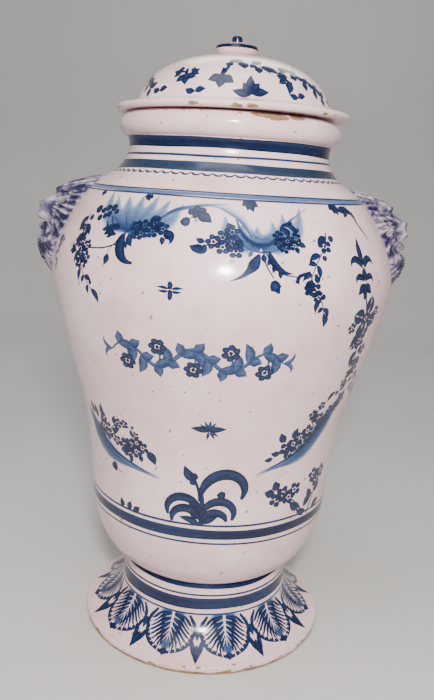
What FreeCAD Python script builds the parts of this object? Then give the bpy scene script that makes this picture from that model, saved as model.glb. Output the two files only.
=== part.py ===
import FreeCAD, Part
import math
import os

# A tall covered drug jar in tin-glazed earthenware, in millimetres, +Z up.
# It stands on Z = 0 with its axis on Z, its painted front towards -Y and a lion
# mask on each side, at +X and -X. The potter threw the foot, the two halves of
# the body, the lid and its knob on the wheel, pressed the masks in a mould, and
# luted them together with slip before the glaze.

# ---- foot: a spreading ring foot under a short pedestal, hollow underneath ----
foot_radius = 102.0
foot_edge = 6.5
foot_round = 1.5
foot_rest_width = 9.0
foot_wall = 8.0
flare_height = 32.5
pedestal_radius = 71.5
pedestal_waist = 1.0
pedestal_waist_height = 11.0
pedestal_height = 24.5
crease_inset = 4.5
# the flare's two free points: share of its spread outside the pedestal, share of its rise
flare_shape = [(0.50, 0.27), (0.17, 0.62)]

# ---- body: outside radii, and how far each level stands above the one before ----
floor_thickness = 9.0
floor_corner = 24.0
wall = 8.0
underside_radius = 84.0
underside_rise = 14.5
bowl_radius = 97.0
bowl_rise = 31.5
waist_radius = 100.0
waist_rise = 31.0
belly_radius = 107.0
belly_rise = 55.0
joint_radius = 119.5
joint_rise = 45.0
swell_radius = 130.5
swell_rise = 40.0
shoulder_radius = 134.4
shoulder_rise = 26.0
slope_radius = 124.0
slope_rise = 34.0
cove_radius = 101.0
cove_rise = 31.0
throat_flare = 5.4
throat_rise = 14.0
neck_radius = 77.6
neck_rise = 13.0
neck_top_flare = 1.4
neck_top_rise = 7.5

# ---- rim: a rolled lip on the neck ----
rim_height = 17.5
rim_bulge = 6.5
rim_bulge_height = 8.0
rim_crest_width = 9.0
lip_depth = 4.4
lip_easing = 0.4
neck_wall = 8.0

# ---- lid: a flanged dome, sitting a little askew as a warped lid does ----
seat_gap = 0.3
lid_shift = 1.5
lid_tilt = 0.5
flange_overhang = 10.5
flange_edge = 5.0
flange_slope = 3.0
flange_width = 16.5
dome_foot_flare = 1.5
dome_height = 44.0
# the dome's curve from its foot up: share of its radius, share of its height over the seat
dome_shape = [(0.978, 0.34), (0.900, 0.54), (0.775, 0.715), (0.560, 0.885), (0.340, 0.968)]
dome_wall = 6.5
bezel_clearance = 4.0
bezel_wall = 5.5
bezel_depth = 12.0

# ---- knob: a flattened bulb with a button on top ----
knob_stem_radius = 10.0
knob_radius = 16.4
knob_height = 10.6
knob_edge_height = 5.5
knob_under = (0.86, 0.30)
knob_band_inset = 0.8
knob_band_height = 2.0
knob_cone = (0.50, 0.90)
button_radius = 4.0
button_height = 5.0
button_crown = (0.75, 0.74)
button_cap = 2.5
button_flat = 1.0

# ---- masks: press-moulded lion masks on the shoulder ----
slip = 0.3
mask_drop = 9.0
mask_sink = 6.0
# height above the mask's bottom, how far it stands off the wall, half its width
mask_stations = [
    (0.0, 4.0, 6.0),
    (8.0, 9.0, 12.0),
    (20.0, 16.5, 19.0),
    (39.0, 23.0, 24.0),
    (54.0, 31.0, 25.0),
    (66.0, 27.0, 24.0),
    (74.0, 21.0, 19.0),
    (79.0, 14.0, 11.0),
]

foot_height = flare_height + pedestal_height
crease_radius = pedestal_radius - crease_inset
neck_bore = neck_radius - neck_wall
neck_top_radius = neck_radius + neck_top_flare
flange_radius = neck_top_radius + flange_overhang
dome_radius = flange_radius - flange_width

# levels up the body, each above the one before
underside_level = foot_height + underside_rise
bowl_level = underside_level + bowl_rise
waist_level = bowl_level + waist_rise
belly_level = waist_level + belly_rise
joint_level = belly_level + joint_rise
swell_level = joint_level + swell_rise
shoulder_level = swell_level + shoulder_rise
slope_level = shoulder_level + slope_rise
cove_level = slope_level + cove_rise
throat_level = cove_level + throat_rise
neck_level = throat_level + neck_rise
rim_base = neck_level + neck_top_rise
rim_top = rim_base + rim_height
seat = rim_top + seat_gap
ORIGIN = FreeCAD.Vector(0, 0, 0)
UP = FreeCAD.Vector(0, 0, 1)


def at(radius, height):
    return FreeCAD.Vector(radius, 0, height)


def line(start, end):
    return Part.LineSegment(start, end).toShape()


def arc(start, middle, end):
    return Part.Arc(start, middle, end).toShape()


def smooth(points):
    curve = Part.BSplineCurve()
    curve.interpolate(points)
    return curve


def turned(edges):
    """A solid thrown on the wheel: a closed half-section turned about Z."""
    face = Part.Face(Part.Wire(edges))
    return face.revolve(ORIGIN, UP, 360)


def stretch(curve, start, end):
    piece = curve.copy()
    piece.segment(start, end)
    return piece


def inward(curve, start, end, thickness, count=12):
    """Points one wall thickness inside a rising curve, from start to end."""
    points = []
    for step in range(count):
        place = start + (end - start) * step / (count - 1)
        (along,) = curve.tangent(place)
        outward = FreeCAD.Vector(along.z, 0, -along.x)
        points.append(curve.value(place) - outward * thickness)
    return points


def body_curve():
    """The outside of both body halves as one curve, so it runs fair over their joint."""
    return smooth([
        at(crease_radius, foot_height),
        at(underside_radius, underside_level),
        at(bowl_radius, bowl_level),
        at(waist_radius, waist_level),
        at(belly_radius, belly_level),
        at(joint_radius, joint_level),
        at(swell_radius, swell_level),
        at(shoulder_radius, shoulder_level),
        at(slope_radius, slope_level),
        at(cove_radius, cove_level),
        at(neck_radius + throat_flare, throat_level),
        at(neck_radius, neck_level),
        at(neck_top_radius, rim_base),
    ])


def radius_at(curve, height):
    """The radius of a rising curve at a height, by halving its parameter range."""
    low = curve.FirstParameter
    high = curve.LastParameter
    for _ in range(50):
        middle = (low + high) / 2
        if curve.value(middle).z < height:
            low = middle
        else:
            high = middle
    return curve.value(low).x


def make_foot():
    rest_outer = at(foot_radius - foot_round, 0)
    rest_inner = at(foot_radius - foot_rest_width, 0)
    rounding = foot_round * (1 - math.sqrt(0.5))
    edge_low = at(foot_radius, foot_round)
    edge_high = at(foot_radius, foot_edge - foot_round)
    shelf = at(foot_radius - foot_round, foot_edge)
    spread = foot_radius - foot_round - pedestal_radius
    rise = flare_height - foot_edge
    waist = at(pedestal_radius - pedestal_waist, flare_height + pedestal_waist_height)
    flare = smooth(
        [shelf]
        + [at(pedestal_radius + out * spread, foot_edge + up * rise) for out, up in flare_shape]
        + [at(pedestal_radius, flare_height), waist, at(crease_radius, foot_height)]
    )
    top_inner = at(crease_radius - foot_wall, foot_height)
    hollow = smooth([
        top_inner,
        waist - at(foot_wall, 0),
        at(pedestal_radius - foot_wall, flare_height - foot_wall),
        rest_inner,
    ])
    return turned([
        line(rest_inner, rest_outer),
        arc(rest_outer, at(foot_radius - rounding, rounding), edge_low),
        line(edge_low, edge_high),
        arc(edge_high, at(foot_radius - rounding, foot_edge - rounding), shelf),
        flare.toShape(),
        line(at(crease_radius, foot_height), top_inner),
        hollow.toShape(),
    ])


def make_lower_body(outside, joint):
    start = outside.FirstParameter
    rise = outside.parameter(at(underside_radius, underside_level))
    floor = foot_height + floor_thickness
    floor_end = at(underside_radius - floor_corner, floor)
    inside = smooth([floor_end] + inward(outside, rise, joint, wall))
    top_outer = outside.value(joint)
    top_inner = inside.value(inside.LastParameter)
    return turned([
        line(at(0, foot_height), at(crease_radius, foot_height)),
        stretch(outside, start, joint).toShape(),
        line(top_outer, top_inner),
        inside.toShape(),
        line(floor_end, at(0, floor)),
        line(at(0, floor), at(0, foot_height)),
    ])


def make_upper_body(outside, joint):
    end = outside.LastParameter
    throat = outside.parameter(at(neck_radius + throat_flare, throat_level))
    bulge = at(neck_top_radius + rim_bulge, rim_base + rim_bulge_height)
    crest_outer = at(neck_top_radius, rim_top)
    crest_inner = at(neck_top_radius - rim_crest_width, rim_top)
    lip_middle = at(neck_bore + lip_easing, rim_top - lip_easing * lip_depth)
    lip_inner = at(neck_bore, rim_top - lip_depth)
    inside = smooth(inward(outside, joint, throat, wall) + [at(neck_bore, neck_level)])
    inner_low = inside.value(inside.FirstParameter)
    return turned([
        line(inner_low, outside.value(joint)),
        stretch(outside, joint, end).toShape(),
        arc(at(neck_top_radius, rim_base), bulge, crest_outer),
        line(crest_outer, crest_inner),
        arc(crest_inner, lip_middle, lip_inner),
        line(lip_inner, at(neck_bore, neck_level)),
        inside.toShape(),
    ])


def make_mask(outside, side):
    """A simple solid of the mask's bulk, its back hollowed to the shoulder's curve."""
    sections = []
    for height, standoff, half_width in mask_stations:
        level = shoulder_level - mask_drop + height
        wall_radius = radius_at(outside, level)
        depth = standoff + mask_sink
        centre = FreeCAD.Vector(wall_radius - mask_sink, 0, level)
        if depth >= half_width:
            oval = Part.Ellipse(centre + at(depth, 0), centre + FreeCAD.Vector(0, half_width, 0), centre)
        else:
            oval = Part.Ellipse(centre + FreeCAD.Vector(0, half_width, 0), centre - at(depth, 0), centre)
        sections.append(Part.Wire([oval.toShape()]))
    bulk = Part.makeLoft(sections, True)
    grown = smooth(inward(outside, outside.FirstParameter, outside.LastParameter, -slip, 40))
    core = turned([
        line(at(0, foot_height), grown.value(grown.FirstParameter)),
        grown.toShape(),
        line(grown.value(grown.LastParameter), at(0, rim_base)),
        line(at(0, rim_base), at(0, foot_height)),
    ])
    mask = bulk.cut(core)
    solid = max(mask.Solids, key=lambda one: one.Volume)
    if side < 0:
        solid.rotate(ORIGIN, UP, 180)
    return solid


def lid_place():
    """The lid's seat: shifted a little, and lifted on its right about its left contact."""
    contact = FreeCAD.Vector(lid_shift - neck_top_radius, 0, seat)
    turn = FreeCAD.Rotation(FreeCAD.Vector(0, 1, 0), -lid_tilt)
    shift = FreeCAD.Vector(lid_shift, 0, 0)
    return FreeCAD.Placement(shift, turn, contact - shift)


def on_seat(solid):
    solid.Placement = lid_place()
    return solid


def make_lid():
    bezel_inner = neck_bore - bezel_clearance - bezel_wall
    half_edge = flange_edge / 2
    edge_bottom = at(flange_radius - half_edge, seat)
    edge_side = at(flange_radius, seat + half_edge)
    edge_top = at(flange_radius - half_edge, seat + flange_edge)
    dome_foot = at(dome_radius + dome_foot_flare, seat + flange_edge + flange_slope)
    crown = at(knob_stem_radius, seat + dome_height)
    rising = [at(out * dome_radius, seat + up * dome_height) for out, up in dome_shape]
    dome = smooth([dome_foot] + rising + [crown])
    low = dome.parameter(rising[0])
    inside = smooth([at(bezel_inner, seat)] + inward(dome, low, dome.LastParameter, dome_wall, 9))
    crown_inner = inside.value(inside.LastParameter)
    return turned([
        line(at(bezel_inner, seat), edge_bottom),
        arc(edge_bottom, edge_side, edge_top),
        line(edge_top, dome_foot),
        dome.toShape(),
        line(crown, at(0, seat + dome_height)),
        line(at(0, seat + dome_height), at(0, crown_inner.z)),
        line(at(0, crown_inner.z), crown_inner),
        inside.toShape(),
    ])


def make_lid_bezel():
    outer = neck_bore - bezel_clearance
    inner = outer - bezel_wall
    bottom = seat - bezel_depth
    half = bezel_wall / 2
    return turned([
        line(at(inner, seat), at(outer, seat)),
        line(at(outer, seat), at(outer, bottom + half)),
        arc(at(outer, bottom + half), at(inner + half, bottom), at(inner, bottom + half)),
        line(at(inner, bottom + half), at(inner, seat)),
    ])


def make_knob():
    base = seat + dome_height
    edge = base + knob_edge_height
    band = at(knob_radius - knob_band_inset, edge + knob_band_height)
    top = base + knob_height
    out_under, up_under = knob_under
    out_cone, up_cone = knob_cone
    bulb = smooth([
        at(knob_stem_radius, base),
        at(out_under * knob_radius, base + up_under * knob_edge_height),
        at(knob_radius, edge),
    ])
    cone = smooth([
        band,
        at(out_cone * knob_radius, base + up_cone * knob_height),
        at(button_radius, top),
    ])
    return turned([
        line(at(0, base), at(knob_stem_radius, base)),
        bulb.toShape(),
        line(at(knob_radius, edge), band),
        cone.toShape(),
        line(at(button_radius, top), at(0, top)),
        line(at(0, top), at(0, base)),
    ])


def make_knob_button():
    base = seat + dome_height + knob_height
    top = base + button_height
    out_crown, up_crown = button_crown
    shoulder = at(button_radius, top - button_cap)
    crown = at(out_crown * button_radius, top - (1 - up_crown) * button_cap)
    flat = at(button_flat, top)
    return turned([
        line(at(0, base), at(button_radius, base)),
        line(at(button_radius, base), shoulder),
        arc(shoulder, crown, flat),
        line(flat, at(0, top)),
        line(at(0, top), at(0, base)),
    ])


def save(name, solid):
    solid.exportStep("parts/" + name + ".step")
    box = solid.BoundBox
    print(name, solid.isValid(), round(solid.Volume), len(solid.Solids),
          [round(v, 1) for v in (box.XMin, box.XMax, box.YMin, box.YMax, box.ZMin, box.ZMax)])


def main():
    os.makedirs("parts", exist_ok=True)
    outside = body_curve()
    joint = outside.parameter(at(joint_radius, joint_level))
    save("foot", make_foot())
    save("lower_body", make_lower_body(outside, joint))
    save("upper_body", make_upper_body(outside, joint))
    save("mask_right", make_mask(outside, 1))
    save("mask_left", make_mask(outside, -1))
    save("lid", on_seat(make_lid()))
    save("lid_bezel", on_seat(make_lid_bezel()))
    save("knob", on_seat(make_knob()))
    save("knob_button", on_seat(make_knob_button()))


main()
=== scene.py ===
# %% [markdown]
# # A covered drug jar in painted tin glaze
# The jar is red-brown earthenware under a thick white glaze, painted freehand in cobalt blue before
# it was fired. Its form was thrown on a wheel, so every piece of it is a profile turned about Z. We
# could lay a texture over such a surface, but then the drawing would blur close up. Here each brush
# stroke becomes real edges in the mesh instead, so the same drawing stays sharp in any view and in
# an export. The fixed frame comes first: its box and its nodes give every size that follows.

# %% Load the frame
import math
import random

import bmesh
import bpy
import numpy as np
from mathutils import Matrix, Vector
from mathutils.geometry import delaunay_2d_cdt


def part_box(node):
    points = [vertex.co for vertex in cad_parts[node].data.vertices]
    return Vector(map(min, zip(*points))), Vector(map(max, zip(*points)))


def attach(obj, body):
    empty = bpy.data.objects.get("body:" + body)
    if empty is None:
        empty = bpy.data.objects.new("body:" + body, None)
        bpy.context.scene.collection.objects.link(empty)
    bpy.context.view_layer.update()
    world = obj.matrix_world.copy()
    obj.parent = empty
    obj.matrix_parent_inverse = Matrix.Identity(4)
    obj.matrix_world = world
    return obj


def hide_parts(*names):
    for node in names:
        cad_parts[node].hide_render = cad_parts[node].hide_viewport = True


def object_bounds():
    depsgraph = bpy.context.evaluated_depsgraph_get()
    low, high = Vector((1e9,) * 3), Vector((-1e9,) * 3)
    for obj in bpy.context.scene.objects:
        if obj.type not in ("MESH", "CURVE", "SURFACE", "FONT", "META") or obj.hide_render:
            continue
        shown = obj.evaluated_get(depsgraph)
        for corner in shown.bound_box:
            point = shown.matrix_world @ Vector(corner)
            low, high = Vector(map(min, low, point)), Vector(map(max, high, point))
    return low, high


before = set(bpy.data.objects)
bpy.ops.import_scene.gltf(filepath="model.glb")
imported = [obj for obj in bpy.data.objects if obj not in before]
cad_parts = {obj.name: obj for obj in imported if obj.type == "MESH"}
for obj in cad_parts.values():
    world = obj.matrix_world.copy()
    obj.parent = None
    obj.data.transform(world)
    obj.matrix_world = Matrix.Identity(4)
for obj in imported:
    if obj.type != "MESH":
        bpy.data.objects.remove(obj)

cad_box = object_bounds()
MM = 0.001
print("the jar's box in metres", cad_box)

# %% [markdown]
# ## Reading the thrown profile
# A turned solid keeps its half-section as the seam where the turn closes, on the +X side of the XZ
# plane. We walk that seam on the CAD mesh and get the profile as a path, so no radius is typed
# twice. The lid sits a little askew, so its pieces are first stood upright in the same way: the
# lean is read from the two ends of its flange.

# %% Walk a node's seam
SAME = 1e-5


def node_mesh(name, upright=Matrix()):
    """A CAD node's mesh as a new bmesh with its corners joined, turned by upright."""
    bm = bmesh.new()
    bm.from_mesh(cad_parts[name].data)
    bmesh.ops.remove_doubles(bm, verts=bm.verts, dist=SAME)
    bmesh.ops.transform(bm, matrix=upright, verts=bm.verts)
    return bm


def seam_path(name, upright=Matrix()):
    """The seam's (radius, height) in millimetres, up the outside first; open ends meet the axis."""
    bm = node_mesh(name, upright)
    links = {}
    for edge in bm.edges:
        a, b = edge.verts
        if all(abs(v.co.y) < SAME and v.co.x > SAME for v in (a, b)):
            links.setdefault(a.index, []).append(b.index)
            links.setdefault(b.index, []).append(a.index)
    bm.verts.ensure_lookup_table()
    ends = [v for v, near in links.items() if len(near) == 1]
    here = min(ends, key=lambda v: bm.verts[v].co.z) if ends else next(iter(links))
    path = [here]
    seen = {here}
    while True:
        onward = [v for v in links[path[-1]] if v not in seen]
        if not onward:
            break
        path.append(onward[0])
        seen.add(onward[0])
    points = [(bm.verts[v].co.x / MM, bm.verts[v].co.z / MM) for v in path]
    bm.free()
    if ends:
        points = [(0.0, points[0][1])] + points + [(0.0, points[-1][1])]
    turned = zip(points, points[1:] + points[:1])
    if sum(a[0] * b[1] - b[0] * a[1] for a, b in turned) < 0:
        points.reverse()
    return points, not ends

# %% How the lid leans
def lid_lean():
    """The matrix that stands the lid's pieces upright on the jar's axis."""
    bm = node_mesh("lid")
    flat = Vector()
    for face in bm.faces:
        if face.normal.z < -0.999:
            flat += face.normal * face.calc_area()
    bm.free()
    lean = math.atan2(flat.x, -flat.z)
    tilt = Matrix.Rotation(lean, 4, "Y")
    low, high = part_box("knob")
    middle = tilt @ Vector(((low.x + high.x) / 2, 0, (low.z + high.z) / 2))
    return Matrix.Translation((-middle.x, 0, 0)) @ tilt


LID_UPRIGHT = lid_lean()
LID_BACK = LID_UPRIGHT.inverted()
print("the lid leans by", round(math.degrees(LID_BACK.to_euler().y), 3), "degrees")

# %% [markdown]
# ## From a path to a smooth wall
# The seam is a chain of short straight runs. A curve is drawn through its points, except where it
# turns sharply: there the wall has a real edge. It stays inside the box that holds those points.
# Each point of the finer path also knows which way the wall faces. Those directions become the
# mesh's own normals later, so that the gloss runs evenly over the wall however oddly the drawing
# cuts it into triangles.

# %% Profiles
SHARP = math.radians(24)
LONGEST_STEP = 3.0
OUTWARD = 0.02


class Profile:
    """A half-section in millimetres, with the length along it and the way it faces."""

    def __init__(self, points, closed):
        keep = [Vector(p) for p in points]
        if closed:
            keep.append(keep[0])
        self.closed = closed
        self.corners = self.find_corners(keep)
        fine, self.sharp = self.refine(keep)
        kept = np.array([tuple(p) for p in keep])
        held = np.clip([tuple(p) for p in fine], kept.min(axis=0), kept.max(axis=0))
        self.points = [Vector(p) for p in held]
        steps = [(b - a).length for a, b in zip(self.points, self.points[1:])]
        self.at = np.concatenate([[0.0], np.cumsum(steps)])
        self.radius = np.array([p.x for p in self.points])
        self.height = np.array([p.y for p in self.points])
        self.length = float(self.at[-1])
        self.facing = self.find_facing()

    def find_corners(self, keep):
        corners = {0, len(keep) - 1}
        for i in range(1, len(keep) - 1):
            if (keep[i] - keep[i - 1]).angle(keep[i + 1] - keep[i]) > SHARP:
                corners.add(i)
        return corners

    def refine(self, keep):
        """More points on a smooth curve through the kept ones, none over a corner."""
        fine, sharp = [], []
        for i in range(len(keep) - 1):
            a, b = keep[i], keep[i + 1]
            before = keep[i - 1] if i not in self.corners else 2 * a - b
            after = keep[i + 2] if i + 1 not in self.corners else 2 * b - a
            span = (b - a).length
            slope_a = (b - before) * (span / max((b - before).length, 1e-9))
            slope_b = (after - a) * (span / max((after - a).length, 1e-9))
            count = max(1, math.ceil(span / LONGEST_STEP))
            sharp.append(i in self.corners)
            fine.append(a)
            for k in range(1, count):
                t = k / count
                fine.append(
                    a * (2 * t**3 - 3 * t**2 + 1)
                    + slope_a * (t**3 - 2 * t**2 + t)
                    + b * (3 * t**2 - 2 * t**3)
                    + slope_b * (t**3 - t**2)
                )
                sharp.append(False)
        fine.append(keep[-1])
        sharp.append(True)
        return fine, sharp

    def find_facing(self):
        """For each run, the outward direction at its start and at its end."""
        runs = []
        for a, b in zip(self.points, self.points[1:]):
            along = (b - a).normalized()
            runs.append(Vector((along.y, -along.x)))
        facing = []
        for i, here in enumerate(runs):
            start = here if self.sharp[i] else (runs[i - 1] + here).normalized()
            end = here if self.sharp[i + 1] else (here + runs[i + 1]).normalized()
            facing.append((start, end))
        return facing

    def rising_to(self, level):
        """The length at which the outside, going up, first reaches a height."""
        for i in range(len(self.at) - 1):
            low, high = self.height[i], self.height[i + 1]
            if low <= level <= high and high > low and self.facing[i][0].x > OUTWARD:
                share = (level - low) / (high - low)
                return float(self.at[i] + share * (self.at[i + 1] - self.at[i]))
        raise ValueError("no such level")

# %% Read every profile
def start_where(points, wanted):
    """A closed path, started again at its point nearest to (radius, height)."""
    first = min(range(len(points)), key=lambda i: (Vector(points[i]) - Vector(wanted)).length)
    return points[first:] + points[:first]


LID_NODES = ("lid", "lid_bezel", "knob", "knob_button")


def read_profile(name):
    upright = LID_UPRIGHT if name in LID_NODES else Matrix()
    points, closed = seam_path(name, upright)
    if closed:
        lowest = min(h for _, h in points)
        inner = min(r for r, h in points if h < lowest + 1.0)
        points = start_where(points, (inner, lowest))
    return Profile(points, closed)


profiles = {n: read_profile(n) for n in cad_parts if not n.startswith("mask")}
for name, profile in profiles.items():
    print(name, "profile is", round(profile.length), "mm round, with", len(profile.points), "points")

# %% [markdown]
# ## Where the paint goes
# A brush moves over the wall in millimetres, but the wall is round and its radius changes. So a
# drawing is made flat, right and up, and each of its points is carried to an angle round the jar and
# a length up its wall, using the radius it meets there. That keeps a leaf's shape true on the neck,
# on the belly and on the foot. The outside of the foot and of both body halves is one long wall, so
# a garland can hang over the joint between them.

# %% The long outside wall
ROLL = 100.0
TURN = 2 * math.pi * ROLL
RIM_ZONE = 4.0
SMALLEST_RADIUS = 3.0


class Wall:
    """The outside of one or more pieces as one surface, from the lowest up."""

    def __init__(self, names):
        self.spans = {}
        reach = 0.0
        for name in names:
            profile = profiles[name]
            low = min(profile.height[profile.radius > profile.radius.max() * 0.2])
            start = profile.rising_to(low + 0.01) if self.spans else 0.0
            self.spans[name] = (start, reach)
            top = self.outside_end(profile)
            reach += top - start
        self.length = reach

    def outside_end(self, profile):
        """Where the outside ends: at the first sharp edge near the piece's own top."""
        top = profile.height.max()
        for s, height, sharp in zip(profile.at, profile.height, profile.sharp):
            if sharp and height > top - RIM_ZONE and s > 1.0:
                return float(s)
        return profile.length

    def level(self, height):
        """The length up the wall at which it reaches a height above the table."""
        for name, (start, reach) in self.spans.items():
            profile = profiles[name]
            end = self.outside_end(profile)
            try:
                s = profile.rising_to(height)
            except ValueError:
                continue
            if start - 0.01 <= s <= end + 0.01:
                return s - start + reach
        raise ValueError("no such level")

    def radius(self, up):
        for name, (start, reach) in reversed(self.spans.items()):
            if up >= reach or reach == 0.0:
                profile = profiles[name]
                radius = float(np.interp(up - reach + start, profile.at, profile.radius))
                return max(radius, SMALLEST_RADIUS)
        return ROLL


body_wall = Wall(["foot", "lower_body", "upper_body"])
lid_wall = Wall(["lid"])
print("the outside wall is", round(body_wall.length), "mm long")
print("the lid's wall is", round(lid_wall.length), "mm long")

# %% [markdown]
# ## A brush, and the paint it leaves
# Cobalt is brushed on to the raw glaze in a few thin strokes, and a stroke is darker along its edges,
# where the water pooled. Each stroke here is a strip of triangles on the flat map of the wall, with
# the strength of the paint at every corner. Strokes may cross: the stronger paint shows, so the dark
# edge of one leaf still reads over the next. Besides cobalt there is a blacker blue, a scratch that
# lifts paint off again, and a chip that bares the clay. A painted texture would do the same job, but
# this paint stays sharp however close the camera comes.

# %% The sheet that strokes are laid on
COBALT, BLACKISH, LIFT, BARE = range(4)
EVEN = ((-1, 1.0), (1, 1.0))
LEAFY = ((-1, 1.0), (-0.4, 0.9), (0.35, 0.76), (1, 1.0))
SOFT = ((-1, 0.0), (-0.5, 0.8), (0, 1.0), (0.5, 0.8), (1, 0.0))
ONE_SIDED = ((-1, 1.0), (-0.65, 0.7), (-0.1, 0.4), (0.4, 0.22), (1, 0.0))
HAIR = 0.03
SMALL_DAB = 2.6


def curve(path, parts):
    """Points on a smooth curve through a few given ones."""
    p = np.array(path, float)
    t = np.linspace(0, 1, parts, endpoint=False)[:, None]
    ends = np.vstack([2 * p[0] - p[1], p, 2 * p[-1] - p[-2]])
    rows = []
    for a, b, c, d in zip(ends, ends[1:], ends[2:], ends[3:]):
        bend = 2 * a - 5 * b + 4 * c - d
        rows.append(b + 0.5 * ((c - a) * t + bend * t**2 + (3 * b - a - 3 * c + d) * t**3))
    rows.append(p[-1:])
    return np.vstack(rows)

# %% A sheet for one wall
class Sheet:
    """All the paint on one wall, as loose triangles on its flat map."""

    def __init__(self, wall):
        self.wall = wall
        self.count = 0
        self.spots, self.strengths, self.triangles, self.kinds = [], [], [], []

    def stretch(self, up):
        return ROLL / self.wall.radius(up)

    def lay(self, spots, strengths, triangles, kind):
        self.spots.append(spots)
        self.strengths.append(strengths)
        self.triangles.append(np.array(triangles) + self.count)
        self.kinds.append(np.full(len(triangles), kind))
        self.count += len(spots)

    def brush(self, path, widths, ink=(0.9,), across=EVEN, kind=COBALT, parts=4, upright=False):
        """A stroke through the spots, half as wide each side as widths says along it."""
        line = curve(path, parts)
        t = np.linspace(0, 1, len(line))
        wide = np.maximum(np.interp(t, np.linspace(0, 1, len(widths)), widths), HAIR)
        strong = np.interp(t, np.linspace(0, 1, len(ink)), ink)
        stretch = np.array([self.stretch(up) for up in line[:, 1]])
        run = np.gradient(line, axis=0)
        run[:, 0] /= stretch
        run /= np.maximum(np.linalg.norm(run, axis=1), 1e-9)[:, None]
        aside = np.stack([-run[:, 1] * wide * stretch, run[:, 0] * wide], axis=1)
        if upright:
            aside = np.stack([0 * wide, wide], axis=1)
        spots = np.concatenate([line + aside * q for q, _ in across])
        strengths = np.concatenate([strong * share for _, share in across])
        n = len(line)
        triangles = []
        for j in range(len(across) - 1):
            for i in range(n - 1):
                a, b = j * n + i, (j + 1) * n + i
                triangles += [(a, a + 1, b), (a + 1, b + 1, b)]
        self.lay(spots, strengths, triangles, kind)

    def blob(self, spot, wide, tall, edge=0.95, core=0.6, kind=COBALT, sides=9, uneven=0.08):
        """A small round dab with a paler middle."""
        stretch = self.stretch(spot[1])
        spots, strengths = [spot], [core]
        rings = ((0.55, (edge + core) / 2), (1.0, edge)) if wide > SMALL_DAB else ((1.0, edge),)
        for share, ink in rings:
            for k in range(sides):
                way = 2 * math.pi * k / sides
                reach = share * (1 + uneven * math.sin(3 * way + spot[0]))
                x = spot[0] + wide * reach * math.cos(way) * stretch
                spots.append((x, spot[1] + tall * reach * math.sin(way)))
                strengths.append(ink)
        triangles = []
        for k in range(sides):
            a, b = 1 + k, 1 + (k + 1) % sides
            triangles.append((0, a, b))
            if len(rings) > 1:
                triangles += [(a, a + sides, b), (b, a + sides, b + sides)]
        self.lay(np.array(spots), np.array(strengths), triangles, kind)


# %% [markdown]
# ## The painter's vocabulary
# The whole decoration is made of a dozen marks that the painter repeated: a leaf in two strokes, a
# leaf that curls over, a berry, a little flower of five dabs, a thin stem. A pen draws them. It works
# in degrees round the jar and in heights for where a mark goes, and in millimetres for its size, and
# it can draw everything mirrored, or half a turn further round.

# %% The pen and its marks
BOLD = 1.34


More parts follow.
